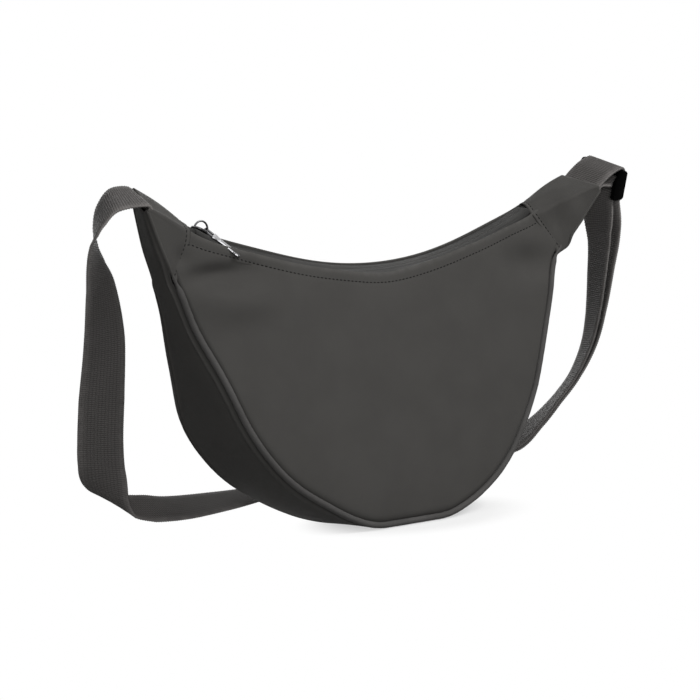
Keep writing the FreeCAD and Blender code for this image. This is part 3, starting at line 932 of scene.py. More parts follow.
class Trees:
    """Geometry node trees that make what repeats or follows a path, each built once."""

    RIB_STEPS = 4
    BAND_CUTS = 5
    BAND_SIDE = 0.499
    FACE_LEVEL = 0.5
    # Share of the width at which the band's edges start to be lightened by rub marks and painted
    # highlight.
    BAND_EDGE = (0.44, 0.5)
    STITCH_BALL = {"Segments": 8, "Rings": 5, "Radius": 0.5}
    COIL_STEPS = 10
    WIRE_CORNERS = 6
    BEAD_STEP = 1.1 * MM
    BEAD_CORNERS = 16
    PUCKERS = {"Scale": 260.0, "Detail": 2.0}

    @staticmethod
    def start(name: str, *sizes: str) -> tuple[FormGraph, dict[str, Field]]:
        """Start a tree that takes a geometry, numbers of these names and a material."""
        inputs = {"Geometry": GEOMETRY, **dict.fromkeys(sizes, NUMBER), "Material": MATERIAL}
        return FormGraph.started(name, "GeometryNodeTree", inputs)

    @staticmethod
    @cache
    def webbing() -> Tree:
        """Flat ribbed webbing along a path that stores its width direction as across.

        Returns:
            The tree.
        """
        graph, given = Trees.start("Ribbed webbing", "Width", "Thickness", "Rib pitch",
                                   "Rib height")
        width, thickness = given["Width"], given["Thickness"]
        line = {"Curve": graph.curve(given, given["Rib pitch"] / Trees.RIB_STEPS),
                "Normal": graph.named("across")}
        spline = graph.parts("GeometryNodeSplineParameter")
        curve = graph.add("GeometryNodeSetCurveNormal", line, mode="FREE")
        curve, along = graph.kept(curve, spline["Length"])
        curve, index = graph.kept(curve, spline["Index"])
        box = graph.add("GeometryNodeCurvePrimitiveQuadrilateral",
                        {"Width": width, "Height": thickness})
        box = graph.add("GeometryNodeSubdivideCurve", {"Curve": box, "Cuts": Trees.BAND_CUTS})
        flat = graph.split(graph.add("GeometryNodeInputPosition"))
        level, reach = flat["Y"] / thickness, flat["X"] / width
        at_side = graph.math("GREATER_THAN", reach.of("ABSOLUTE"), Trees.BAND_SIDE)
        push = (Trees.FACE_LEVEL ** 2 - level * level) * at_side * (thickness * reach.of("SIGN"))
        box = graph.moved(box, graph.xyz(X=push))
        box, place = graph.kept(box, graph.add("GeometryNodeInputPosition"), "VECTOR")
        spot = graph.split(place)
        wave = (index * (2 * math.pi / Trees.RIB_STEPS)).of("COSINE")
        face = spot["Y"].of("ABSOLUTE") / thickness
        band = graph.lifted(graph.swept(curve, box), wave * face * given["Rib height"])
        band = graph.stored(band, "weave", graph.xyz(X=along, Y=spot["X"]), "FLOAT_VECTOR")
        # Edges lightened by rub marks and painted highlight; painted shade in the hollows between
        # ribs.
        edge = graph.range(spot["X"].of("ABSOLUTE") / width, *Trees.BAND_EDGE)
        band = graph.stored(graph.stored(band, "edge", edge), "painted_shade", (1.0 - wave) * face)
        return graph.dressed(band, given["Material"])

    @staticmethod
    @cache
    def stitches() -> Tree:
        """A row of stitches along a path that stores the cloth's direction as facing.

        Returns:
            The tree.
        """
        graph, given = Trees.start("Stitch row", "Pitch", "Length", "Thread")
        line = {"Curve": graph.add("GeometryNodeMeshToCurve", {0: given["Geometry"]}),
                "Length": given["Pitch"]}
        dots = graph.parts("GeometryNodeCurveToPoints", line, mode="LENGTH")
        axes = {"Primary Axis": graph.named("facing"), "Secondary Axis": dots["Tangent"]}
        row = graph.add("GeometryNodeInstanceOnPoints", {
            "Points": dots["Points"], "Rotation": graph.add("FunctionNodeAxesToRotation", axes),
            "Instance": graph.add("GeometryNodeMeshUVSphere", Trees.STITCH_BALL),
            "Scale": graph.xyz(X=given["Length"], Y=given["Thread"], Z=given["Thread"])})
        return graph.dressed(row, given["Material"])

    @staticmethod
    @cache
    def coil() -> Tree:
        """A wound zip coil along a path that stores the mouth's direction as facing.

        Returns:
            The tree.
        """
        graph, given = Trees.start("Wound coil", "Pitch", "Width", "Height", "Wire")
        line = graph.curve(given, given["Pitch"] / Trees.COIL_STEPS)
        index = graph.add("GeometryNodeSplineParameter", None, "Index")
        turn = index * (2 * math.pi / Trees.COIL_STEPS)
        wide = turn.of("COSINE") * (given["Width"] * 0.5)
        tall = turn.of("SINE") * (given["Height"] * 0.5)
        upwards = graph.vector("SCALE", graph.named("facing"), tall)
        wound = graph.moved(line, graph.vector("ADD", graph.xyz(Y=wide), upwards))
        tube = graph.swept(wound, graph.circle(Trees.WIRE_CORNERS, given["Wire"]))
        return graph.dressed(tube, given["Material"])

    @staticmethod
    @cache
    def bead() -> Tree:
        """A round cloth bead along a path that stores its girth, a little puckered by its sewing.

        Returns:
            The tree.
        """
        graph, given = Trees.start("Sewn bead", "Radius", "Pucker", "Seed")
        length = graph.add("GeometryNodeSplineParameter", None, "Length")
        line, along = graph.kept(graph.curve(given, Trees.BEAD_STEP), length)
        ring, around = graph.kept(graph.circle(Trees.BEAD_CORNERS, given["Radius"]), length)
        tube = graph.swept(line, ring, Scale=graph.named("girth", "FLOAT"))
        puckers = {"W": given["Seed"], **Trees.PUCKERS}
        noise = graph.add("ShaderNodeTexNoise", puckers, noise_dimensions="4D")
        tube = graph.lifted(tube, (noise - 0.5) * given["Pucker"])
        tube = graph.stored(tube, "weave", graph.xyz(X=along, Y=around), "FLOAT_VECTOR")
        return graph.dressed(tube, given["Material"])

    @staticmethod
    @cache
    def ribs() -> Tree:
        """Cross ribs on the inner band of a sheet that stores its weave places.

        Returns:
            The tree.
        """
        graph, given = Trees.start("Tape ribs", "Pitch", "Height", "Band")
        spot = graph.split(graph.named("weave"))
        wave = (spot["X"] * (2.0 * math.pi) / given["Pitch"]).of("COSINE") * 0.5 + 0.5
        band = graph.math("LESS_THAN", spot["Y"].of("ABSOLUTE"), given["Band"])
        sheet = graph.lifted(given["Geometry"], wave * band * given["Height"])
        return graph.dressed(sheet, given["Material"])


def grow(piece: Piece, tree: Tree, finish: Finish, *nodes: str,
         body: str = "bag", **sizes: float) -> None:
    """Turn a piece into what a tree makes of it, as a plain mesh, and dress it.

    Args:
        piece: Object that holds the tree's input geometry.
        tree: The tree.
        finish: Finish that the tree sets.
        *nodes: Nodes of the frame that the piece stands in for.
        body: Body of the frame that carries it.
        **sizes: Values of the tree's inputs, with underscores for spaces.
    """
    modifier = piece.modifiers.new(tree.name, "NODES")
    modifier.node_group = tree
    inputs = [item for item in tree.interface.items_tree if item.in_out == "INPUT"]
    sockets = {item.name: item.identifier for item in inputs}
    for label, value in sizes.items():
        modifier[sockets[label.replace("_", " ").capitalize()]] = float(value)
    modifier[sockets["Material"]] = finish.material()
    view = bpy.context.evaluated_depsgraph_get()
    made = bpy.data.meshes.new_from_object(piece.evaluated_get(view))
    piece.modifiers.clear()
    old, piece.data = piece.data, made
    made.name = piece.name
    bpy.data.meshes.remove(old)
    dress(piece, finish, *nodes, body=body)


@dataclass(frozen=True)
class Dent:
    """One soft push of the cloth: its middle, its reach along each axis and its movement."""

    middle: Triple
    reach: Triple
    push: Triple

    def movement(self, points: Array) -> Array:
        """How far each point moves, given one row for each."""
        away = (points - np.array(self.middle)) / np.array(self.reach)
        return np.exp(-np.sum(away ** 2, axis=-1))[..., None] * np.array(self.push)


@dataclass(frozen=True)
class Slouch:
    """The way in which the empty bag leans, dimples and swells."""

    left_front_pinch: Dent = Dent((-0.146, -0.021, 0.132), (0.022, 0.016, 0.030),
                                  (-0.0012, 0.0052, 0.0))
    left_back_pinch: Dent = Dent((-0.148, 0.019, 0.142), (0.030, 0.016, 0.026), (0.0, -0.0038, 0.0))
    low_back_swell: Dent = Dent((-0.116, 0.036, 0.066), (0.030, 0.018, 0.032),
                                (-0.0008, 0.0024, 0.0))
    front_base_tuck: Dent = Dent((-0.070, -0.047, 0.016), (0.024, 0.014, 0.020),
                                 (0.0010, 0.0, 0.0014))
    right_belly_tuck: Dent = Dent((0.110, -0.038, 0.056), (0.030, 0.016, 0.030),
                                  (-0.0018, 0.0, 0.0006))
    left_mouth_hollow: Dent = Dent((-0.122, -0.014, 0.163), (0.024, 0.014, 0.008),
                                   (0.0, 0.0070, 0.0))
    left_mouth_swell: Dent = Dent((-0.110, -0.020, 0.146), (0.026, 0.016, 0.012),
                                  (0.0, -0.0040, 0.0))
    right_mouth_hollow: Dent = Dent((0.128, -0.016, 0.155), (0.021, 0.014, 0.012),
                                    (0.0, 0.0056, 0.0))
    right_pleat: Dent = Dent((0.163, -0.010, 0.166), (0.010, 0.014, 0.006), (0.0045, 0.0, -0.0012))
    right_patch_fold: Dent = Dent((0.158, -0.014, 0.186), (0.006, 0.012, 0.013), (0.0, 0.0022, 0.0))
    right_patch_swell: Dent = Dent((0.172, -0.016, 0.190), (0.007, 0.012, 0.011),
                                   (0.0, -0.0016, 0.0))
    left_patch_fold: Dent = Dent((-0.150, -0.013, 0.178), (0.007, 0.012, 0.008), (0.0, 0.0022, 0.0))
    front_lip_left: Dent = Dent((-0.150, -0.010, 0.190), (0.050, 0.009, 0.025), (0.0, 0.0, -0.0062))
    front_lip_middle: Dent = Dent((0.003, -0.016, 0.158), (0.026, 0.008, 0.016),
                                  (0.0, 0.0, -0.0023))
    front_lip_rise: Dent = Dent((0.070, -0.014, 0.166), (0.028, 0.008, 0.016), (0.0, 0.0, 0.0014))
    front_lip_right: Dent = Dent((0.144, -0.010, 0.191), (0.030, 0.008, 0.020), (0.0, 0.0, -0.0055))
    back_lip_left: Dent = Dent((-0.070, 0.0140, 0.168), (0.075, 0.007, 0.030), (0.0, 0.0, 0.0056))
    back_lip_right: Dent = Dent((0.060, 0.0145, 0.165), (0.055, 0.007, 0.025), (0.0, 0.0, -0.0010))
    back_lip_end: Dent = Dent((0.148, 0.010, 0.194), (0.030, 0.008, 0.020), (0.0, 0.0, -0.0026))

    def moved(self, points: Array) -> Array:
        """Push points along the last axis by every dent."""
        return points + sum(dent.movement(points) for dent in vars(self).values())


@dataclass(frozen=True)
class BodyForm:
    """Sizes and outlines that all cloth pieces of the body share."""

    flat_half: float = 21.0 * MM
    bend_radius: float = 60.0 * MM
    belly_radius: float = 135.0 * MM
    flare: float = math.radians(22.0)
    base_half_depth: float = 50.0 * MM
    mouth_half_depth: float = 16.3 * MM
    mouth_height: float = 158.5 * MM
    patch_low: float = 160.0 * MM
    zip_radius: float = 295.0 * MM
    left_zip_end: float = 138.0 * MM
    right_zip_end: float = 139.0 * MM
    under_patch: float = 9.0 * MM
    sink: float = 2.2 * MM
    sink_start: float = -2.0 * MM
    sink_length: float = 5.0 * MM
    lip: float = 0.7 * MM
    bend_steps: int = 40
    belly_steps: int = 160
    slouch: Slouch = field(default_factory=Slouch)

    @property
    def slope(self) -> float:
        """How much half depth the body loses for each unit of height."""
        return (self.base_half_depth - self.mouth_half_depth) / self.mouth_height

    @property
    def zip_middle(self) -> float:
        """Height of the axis that the mouth curves about."""
        return self.mouth_height + self.zip_radius

    def half_depth(self, height: Array | float) -> Array | float:
        """Half depth of the body at a height."""
        return self.base_half_depth - self.slope * height

    def outline(self, inset: float, top: float, count: int) -> Array:
        """Half moon from its left side round the base to its right side.

        Args:
            inset: Distance in from the outside of the gusset.
            top: Height at which both sides end.
            count: How many points to return.

        Returns:
            Rows of x and z, evenly spaced.
        """
        rise = math.sqrt((self.belly_radius - self.bend_radius) ** 2 - self.flat_half ** 2)
        belly_z = self.bend_radius + rise
        join = math.atan2(self.flat_half, rise)
        turns = np.linspace(0.0, join, self.bend_steps)
        radius = self.bend_radius - inset
        bend = np.stack([self.flat_half + radius * np.sin(turns),
                         self.bend_radius - radius * np.cos(turns)], 1)
        turns = np.linspace(join, math.pi / 2 - self.flare, self.belly_steps)
        radius = self.belly_radius - inset
        belly = np.stack([radius * np.sin(turns), belly_z - radius * np.cos(turns)], 1)
        up = top - belly[-1, 1]
        end = belly[-1] + np.array([math.tan(self.flare) * up, up])
        right = np.concatenate([[[0.0, inset]], bend, belly[1:], [end]])
        left = right[:0:-1] * np.array([-1.0, 1.0])
        return resampled(np.concatenate([left, right]), count)

    def zip_end(self, hand: Hand) -> float:
        """Distance of one end of the mouth from the middle, along X."""
        return self.left_zip_end if hand is Hand.LEFT else self.right_zip_end

    def on_mouth(self, radius: float, x: float) -> Array:
        """X and Z of a place on an arc about the mouth's axis."""
        return np.array([x, self.zip_middle - math.sqrt(radius ** 2 - x ** 2)])

    def mouth(self, radius: float, count: int) -> Array:
        """Arc of the mouth from left to right, running on under both patches.

        Args:
            radius: Radius about the mouth's axis.
            count: How many points to return.

        Returns:
            Rows of x and z, evenly spaced.
        """
        ends = np.array([-self.left_zip_end - self.under_patch,
                         self.right_zip_end + self.under_patch])
        turns = np.linspace(*np.arcsin(ends / radius), count)
        x = radius * np.sin(turns)
        beyond = np.maximum(x - self.right_zip_end, -x - self.left_zip_end) + self.sink_start
        drop = self.sink * ease(beyond / self.sink_length)
        return np.stack([x, self.zip_middle - radius * np.cos(turns) - drop], 1)


@dataclass
class Panels:
    """Front and back cloth panels with their linings and the stitches along the mouth."""

    form: BodyForm
    cloth: float = 0.6 * MM
    rim_inset: float = 3.9 * MM
    crown: float = 5.0 * MM
    rim_rise: float = 22.0 * MM
    lip_rise: float = 30.0 * MM
    rim_curl: float = 1.3 * MM
    curl_width: float = 4.5 * MM
    fold_radius: float = 0.7 * MM
    fold_step: int = 30
    # Width of the painted highlight along the fold at the mouth.
    fold_highlight: float = 1.7 * MM
    hem: float = 7.0 * MM
    hem_rows: Triple = (0.25, 0.6, 1.0)
    stitch_drop: float = 6.0 * MM
    stitch_sink: float = 0.25 * MM
    stitch_hollow: float = 1.3 * MM
    stitch_pitch: float = 3.0 * MM
    stitch_length: float = 2.2 * MM
    thread: float = 0.8 * MM
    stitch_steps: Steps = (0.008, 0.992, 240)
    stitch_probe: float = 0.01
    seam_shade: float = 2.0 * MM
    lining: float = 0.4 * MM
    lining_gap: float = 2.4 * MM
    lining_columns: Steps = (0.012, 0.988, 90)
    lining_rows: Steps = (0.02, 0.975, 34)
    columns: int = 230
    rows: int = 64
    row_crowding: float = 0.11 / 1.4
    line_steps: int = 801

    def __post_init__(self) -> None:
        """Prepare the rim and the mouth line that the faces span."""
        top = self.form.patch_low + self.form.under_patch
        self._lines = (self.form.outline(self.rim_inset, top, self.line_steps),
                       self.form.mouth(self.form.zip_radius, self.line_steps))

    def surface(self, side: Side, u: Array, v: Array, inward: float = 0.0) -> Array:
        """Points of a panel's outer face.

        Args:
            side: Which panel.
            u: Share of the way from left to right.
            v: Share of the way from the rim to the mouth.
            inward: How far inside the face the points lie.

        Returns:
            Points along the last axis.
        """
        share = np.linspace(0.0, 1.0, self.line_steps)
        rim, lip = (np.stack([np.interp(u, share, column) for column in line.T], -1)
                    for line in self._lines)
        x, z = np.moveaxis(rim + (lip - rim) * v[..., None], -1, 0)
        span = np.linalg.norm(lip - rim, axis=-1)
        from_rim, from_lip = v * span, (1.0 - v) * span
        ends = np.sin(math.pi * np.clip(u, 0.0, 1.0)) ** 0.5
        swell = ((1 - np.exp(-from_rim / self.rim_rise))
                 * (1 - np.exp(-from_lip / self.lip_rise)) * ends)
        curl = np.clip(1 - from_rim / self.curl_width, 0.0, 1.0) ** 2
        sewn = bell((from_lip - self.stitch_drop) / self.stitch_hollow)
        height = self.crown * swell - self.rim_curl * curl - self.stitch_sink * sewn - inward
        lean = math.hypot(1.0, self.form.slope)
        y = side.value * (self.form.half_depth(z) + height / lean)
        return self.form.slouch.moved(np.stack([x, y, z + height * self.form.slope / lean], -1))

    def skin(self, side: Side) -> Skin:
        """Outer face of a panel with its folded hem.

        Args:
            side: Which panel.

        Returns:
            The face, with a painted highlight along its fold and painted shade along its seam.
        """
        u = np.linspace(0.0, 1.0, self.columns)[::-side.value]
        even = np.linspace(0.0, 1.0, self.rows)
        v = even - self.row_crowding * np.sin(2 * math.pi * even)
        points = self.surface(side, *np.meshgrid(u, v, indexing="ij"))
        lip = points[:, -1]
        up = unit(lip - points[:, -4])
        inward = -unit(np.cross(np.gradient(lip, axis=0), up))
        fold = [lip + up * (self.fold_radius * math.sin(turn))
                + inward * (self.fold_radius * (1 - math.cos(turn)))
                for turn in np.radians(range(self.fold_step, 180 + 1, self.fold_step))]
        fold += [fold[-1] - up * (share * self.hem) for share in self.hem_rows]
        points = np.concatenate([points, np.stack(fold, axis=1)], axis=1)
        along = distances(points, 1)
        # The edge field paints a highlight along the fold; the last field paints shade along the
        # seam at the rim.
        return Skin(points, {"weave": np.stack([points[..., 0], along], axis=-1),
                             "edge": bell((along - along[:, [self.rows - 1]]) / self.fold_highlight),
                             "painted_shade": bell(along / self.seam_shade)})

    def lining_skin(self, side: Side) -> Skin:
        """Lining behind a panel.

        Args:
            side: Which panel.

        Returns:
            The face of the lining.
        """
        u = np.linspace(*self.lining_columns)[::-side.value]
        grid = np.meshgrid(u, np.linspace(*self.lining_rows), indexing="ij")
        points = self.surface(side, *grid, self.lining_gap)
        return Skin(points, {"weave": points[..., [0, 2]]})

    def stitch_line(self, side: Side) -> tuple[Array, Array]:
        """Row of stitches below the mouth.

        Args:
            side: Which panel.

        Returns:
            Points on the cloth and the cloth's direction at each.
        """
        u = np.linspace(*self.stitch_steps)
        low, high = (self.surface(side, u, np.full_like(u, end)) for end in (0.0, 1.0))
        v = 1.0 - self.stitch_drop / np.linalg.norm(high - low, axis=1)
        row, above = self.surface(side, u, v), self.surface(side, u, v + self.stitch_probe)
        return row, unit(np.cross(np.gradient(row, axis=0), above - row)) * -side.value

    def build(self) -> None:
        """Make both panels, both linings and the mouth's stitches."""
        for side in Side:
            panel = thick_sheet(f"{side.label}_panel_cloth", self.skin(side), self.cloth)
            dress(panel, Finish.SHELL, f"{side.label}_panel")
            lining = thick_sheet(f"{side.label}_lining_cloth", self.lining_skin(side), self.lining)
            dress(lining, Finish.LINING, f"{side.label}_lining")
            row, facing = self.stitch_line(side)
            stitches = path_piece(f"{side.label}_mouth_stitches", row, facing=facing)
            grow(stitches, Trees.stitches(), Finish.THREAD, pitch=self.stitch_pitch,
                 length=self.stitch_length, thread=self.thread)


@dataclass
class Tip:
    """Outer end of an end patch, where webbing leaves the bag."""

    form: BodyForm
    hand: Hand
    x: float
    z: float
    rise: float
    roll: float
    layers: int
    webbing: float = 1.5 * MM
    layer_gap: float = 0.5 * MM
    trim: float = 0.0
    corner_trim: float = 4.0 * MM
    half_width: float = 16.0 * MM
    cap: float = 0.3 * MM
    play: float = 0.3 * MM
    sleeve: float = 6.0 * MM
    seam_share: float = 0.3

    def __post_init__(self) -> None:
        """Work out the tip's three directions and the room for its webbing."""
        sign, rise, roll = self.hand.value, math.radians(self.rise), math.radians(self.roll)
        self.place = np.array([self.x, 0.0, self.z])
        self.out = np.array([sign * math.cos(rise), 0.0, math.sin(rise)])
        upright = np.array([-sign * math.sin(rise), 0.0, math.cos(rise)])
        self.back = np.array([0.0, math.cos(roll), 0.0]) + upright * math.sin(roll)
        self.up = upright * math.cos(roll) - np.array([0.0, math.sin(roll), 0.0])
        between = (self.layers - 1) * self.layer_gap
        self.stack = (self.layers * self.webbing + between) / 2 + self.play
        top = self.form.on_mouth(self.form.zip_radius, self.form.zip_end(self.hand))
        low = self.form.outline(0.0, self.form.patch_low, 3)[-1]
        seam = top * self.seam_share + low * (1 - self.seam_share)
        self.inward = unit(np.array([sign * seam[0], 0.0, seam[1]]) - self.place)

    def at(self, out: float, back: float, up: float) -> Array:
        """Point given along the tip's own three directions."""
        return self.place + self.out * out + self.back * back + self.up * up

    def corner(self, side: Side, level: int, beyond: float = 0.0) -> Array:
        """Corner of the cloth's edge: front or back, upper (level 1) or lower (level -1)."""
        cut = self.trim - beyond + (self.corner_trim if side is Side.BACK else 0.0)
        return self.at(-cut, side.value * self.half_width, level * (self.stack + self.cap))

    def in_sleeve(self, up: float) -> Array:
        """Middle of the webbing's hidden end inside the patch."""
        return self.place + self.inward * self.sleeve + self.up * up


def folded_section(corners: list[Array], bend: float, sides: int = 18, top: int = 12,
                   turn: int = 8) -> Array:
    """Cloth folded over two rounded bends.

    Args:
        corners: Low front, top front, top back and low back corners.
        bend: How far each bend starts from its corner.
        sides: Points down the front and the back.
        top: Points across the top.
        turn: Points round each bend.

    Returns:
        Points from the low front to the low back.
    """
    low_front, top_front, top_back, low_back = corners
    rows = [np.linspace(low_front, top_front + unit(low_front - top_front) * bend, sides)]
    share = np.linspace(0.0, 1.0, turn)[1:, None]
    for before, corner, after, last, count in (
            (low_front, top_front, top_back, top_back + unit(top_front - top_back) * bend, top),
            (top_front, top_back, low_back, low_back, sides)):
        start, end = (corner + unit(other - corner) * bend for other in (before, after))
        rows.append(start * (1 - share) ** 2 + corner * 2 * share * (1 - share) + end * share ** 2)
        rows.append(np.linspace(end, last, count)[1:])
    return np.concatenate(rows)


@dataclass
class EndPatch:
    """Folded cloth cap over one end of the mouth, with its hems and its row of stitches."""

    tip: Tip
    front_end: float
    back_end: float
    bow: float
    tuck: float = 1.2 * MM
    cloth: float = 0.7 * MM
    seam_bend: float = 3.0 * MM
    tip_bend: float = 1.9 * MM
    lap: float = 0.4 * MM
    lift: float = 0.5 * MM
    lift_fade: float = 14.0
    bulge: float = 1.3 * MM
    stitch_inset: float = 3.2 * MM
    stitch_sink: float = 0.35 * MM
    stitch_hollow: float = 0.03
    stitch_pitch: float = 2.8 * MM
    stitch_length: float = 2.0 * MM
    thread: float = 0.75 * MM
    # These two set the painted shade at the seam edge and the bands lightened by rub marks and
    # painted highlight.
    rim: float = 0.8 * MM
    rim_place: float = 2.0
    hem: float = 1.1 * MM
    hem_pucker: float = 0.2 * MM
    hem_fade: float = 3.0
    rows: int = 34

    def grid(self) -> Array:
        """Points of the patch from its seam to its tip.

        Returns:
            An array of fold steps by rows by three.
        """
        form, tip, sign = self.tip.form, self.tip, self.tip.hand.value
        front, back = (form.on_mouth(form.zip_radius - form.lip, end)
                       for end in (self.front_end, self.back_end))
        low = form.outline(self.tuck, form.patch_low, 3)[-1]
        folds = ((low, Side.FRONT, -1), (front, Side.FRONT, 1),
                 (back, Side.BACK, 1), (low, Side.BACK, -1))
        seam = []
        for (x, z), side, level in folds:
            depth = form.half_depth(z) - (self.tuck if level < 0 else 0.0)
            seam.append(np.array([sign * x, side.value * depth, z]))
        start = folded_section(seam, self.seam_bend)
        end = folded_section([tip.corner(side, level) for _, side, level in folds], self.tip_bend)
        # The front and the back bow, which are the first and the last third of the fold.
        bowed = np.sin(np.linspace(0.0, 3.0 * math.pi, len(start))).clip(0.0)[:, None]
        start = start - unit(end - start) * (self.lap + self.bow * bowed)
        share = np.linspace(0.0, 1.0, self.rows)[None, :, None]
        return start[:, None] + (end - start)[:, None] * share

    def stitch_share(self) -> float:
        """Find where the stitches run.

        Returns:
            Share of the way from the seam to the tip.
        """
        grid = self.grid()
        middle = grid[len(grid) // 2]
        return (self.lap + self.stitch_inset) / np.linalg.norm(middle[-1] - middle[0])

    def skin(self) -> Skin:
        """Outer face of the patch, swollen between its seam and its tip.

        Returns:
            The face, with its edges lightened partly by rub marks and partly by painted highlight,
            and painted shade along its seam.
        """
        points = self.grid()[::-self.tip.hand.value]
        share = np.linspace(0.0, 1.0, self.rows)[None, :]
        around = np.linspace(0.0, 1.0, len(points))[:, None]
        swell = self.bulge * np.sin(math.pi * share) * np.sin(math.pi * around) ** 0.5
        step = self.lift * np.exp(-share * self.lift_fade)
        sewn = self.stitch_sink * bell((share - self.stitch_share()) / self.stitch_hollow)
        points = points + normals(points) * (swell + step - sewn)[..., None]
        points = self.tip.form.slouch.moved(points)
        along, out = distances(points), distances(points, 1)
        # Lighter near the seam and at the tip, partly rub marks and partly painted highlight; the
        # last field paints shade at the seam edge.
        edge = bell(out / self.rim - self.rim_place) + np.exp(-(out[:, -1:] - out) / self.rim)
        return Skin(points, {"weave": np.stack([along, out], -1), "edge": np.clip(edge, 0.0, 1.0),
                             "painted_shade": bell(out / self.rim)})

    def build(self) -> None:
        """Make the patch, its two hems and its stitches."""
        label, skin = self.tip.hand.label, self.skin()
        patch = thick_sheet(f"{label}_patch_cloth", skin, self.cloth)
        dress(patch, Finish.SHELL, f"{label}_end_patch")
        girth = ease(self.hem_fade * np.linspace(0.0, 1.0, self.rows))
        for side, edge in zip(Side, (skin.points[0], skin.points[-1])):
            hem = path_piece(f"{label}_patch_{side.label}_hem", edge, girth=girth)
            grow(hem, Trees.bead(), Finish.SHELL, radius=self.hem, pucker=self.hem_pucker,
                 seed=side.value)
        row = max(1, round(self.stitch_share() * (self.rows - 1)))
        line, facing = (grid[2:-2, row] for grid in (skin.points, normals(skin.points)))
        stitches = path_piece(f"{label}_patch_stitches", line, facing=facing)
        grow(stitches, Trees.stitches(), Finish.THREAD, pitch=self.stitch_pitch,
             length=self.stitch_length, thread=self.thread)


@dataclass
class Gusset:
    """Cloth strip round the base and sides that runs on up under both tips, with its lining."""

    form: BodyForm
    tips: tuple[Tip, Tip]
    cloth: float = 0.6 * MM
    margin: float = 2.9 * MM
    crown: float = 2.2 * MM
    crown_low: float = 3.0 * MM
    crown_rise: float = 30.0 * MM
    sag: float = 5.0 * MM
    sag_height: float = 30.0 * MM
    sag_room: float = 0.8
    ridge: float = 0.9 * MM
    ridge_inset: float = 3.2 * MM
    ridge_width: float = 0.9 * MM
    # Width of the painted highlight on each seam ridge.
    ridge_highlight: float = 0.8 * MM
    seam_dip: float = 0.9 * MM
    seam_shade: float = 1.3 * MM
    seam_fade: float = 4.0 * MM
    strip_margin: float = 0.5 * MM
    strip_beyond: float = 1.5 * MM
    strip_lift: float = 0.3 * MM
    strip_steps: int = 21
    widening: float = 2.5
    lining: float = 0.4 * MM
    lining_inset: float = 2.2 * MM
    lining_taper: float = 0.4
    lining_steps: int = 15
    along_steps: int = 281
    across_steps: int = 41
    crowding: float = 1.5

    def spine(self, inset: float) -> list[Array]:
        """Middle of the strip from the left tip round the base to the right tip.

        Args:
            inset: Distance in from the outside of the gusset.

        Returns:
            Middles, width directions, half widths and outward directions.
        """
        moon = self.form.outline(inset, self.form.patch_low, self.along_steps)
        none = np.zeros(len(moon))
        middles = np.stack([moon[:, 0], none, moon[:, 1]], 1)
        way = unit(np.gradient(middles, axis=0))
        outward = np.stack([way[:, 2], none, -way[:, 0]], 1)
        across = np.tile(Y_AXIS, (len(moon), 1))
        halves = self.form.half_depth(moon[:, 1]) - self.margin
        share = np.linspace(0.0, 1.0, self.strip_steps + 1)[1:, None]
        ends = []
        for tip, index in zip(self.tips, (0, -1)):
            edges = []
            for side in Side:
                reach = side.value * (halves[index] + self.margin - self.strip_margin)
                low = middles[index] + across[index] * reach
                corner = (tip.corner(side, -1, self.strip_beyond)
                          + tip.up * (inset + self.strip_lift))
                edges.append(low + (corner - low) * share)
            width = edges[1] - edges[0]
            half = np.linalg.norm(width, axis=1, keepdims=True) / 2
            wider = (half - halves[index]) * ease(share * self.widening)
            ends.append(((edges[0] + edges[1]) / 2, unit(width), (halves[index] + wider)[:, 0],
                         unit(outward[index] + (-tip.up - outward[index]) * ease(share))))
        round_base = (middles, across, halves, outward)
        return [np.concatenate([left[::-1], middle, right])
                for left, middle, right in zip(ends[0], round_base, ends[1])]

    def skin(self, steps: int, inset: float = 0.0) -> Skin:
        """Outer face of the strip.

        Args:
            steps: Number of points across the strip.
            inset: Distance in from the outside of the gusset.

        Returns:
            The face, with a seam ridge along each side, a painted highlight on each ridge and
            painted shade along each seam.
        """
        middles, across, halves, outward = self.spine(inset)
        even = np.linspace(-1.0, 1.0, steps)
        share = -np.sign(even) * (1 - (1 - np.abs(even)) ** self.crowding)
        halves = halves - inset * self.lining_taper
        places = share[None, :] * halves[:, None]
        to_side = (1 - np.abs(share))[None, :] * halves[:, None]
        height = middles[:, 2] - inset
        off_floor = ease((height - self.crown_low) / self.crown_rise)
        crown = self.crown * off_floor + self.sag * bell(height / self.sag_height)
        room = np.minimum(crown, self.sag_room * height).clip(0.0)
        swell = room[:, None] * (1 - share[None, :] ** 2)
        ridge = self.ridge * bell((to_side - self.ridge_inset) / self.ridge_width)
        past_seam = (middles[:, 2] - self.form.patch_low + self.seam_fade) / (2 * self.seam_fade)
        sewn = 1 - ease(past_seam)[:, None]
        dip = self.seam_dip * np.exp(-to_side / self.seam_dip) * sewn
        lift = swell + ridge * off_floor[:, None] - dip
        flat = middles[:, None] + across[:, None] * places[..., None]
        along = np.tile(distances(middles)[:, None], (1, steps))
        # The edge field paints a highlight on each seam ridge; the last field paints shade along
        # each seam below the patches.
        return Skin(self.form.slouch.moved(flat + outward[:, None] * lift[..., None]),
                    {"weave": np.stack([along, places], -1),
                     "edge": bell((to_side - self.ridge_inset) / self.ridge_highlight),
                     "painted_shade": bell(to_side / self.seam_shade) * sewn})

    def build(self) -> None:
        """Make the strip, and its lining, which ends where the strip runs on under the tips."""
        strip = thick_sheet("gusset_cloth", self.skin(self.across_steps), self.cloth)
        dress(strip, Finish.SHELL, "gusset")
        inner = self.skin(self.lining_steps, self.lining_inset)
        cut = slice(self.strip_steps, -self.strip_steps)
        inner = Skin(inner.points[cut], {"weave": inner.fields["weave"][cut]})
        lining = thick_sheet("gusset_lining_cloth", inner, self.lining)
        dress(lining, Finish.LINING, "gusset_lining")


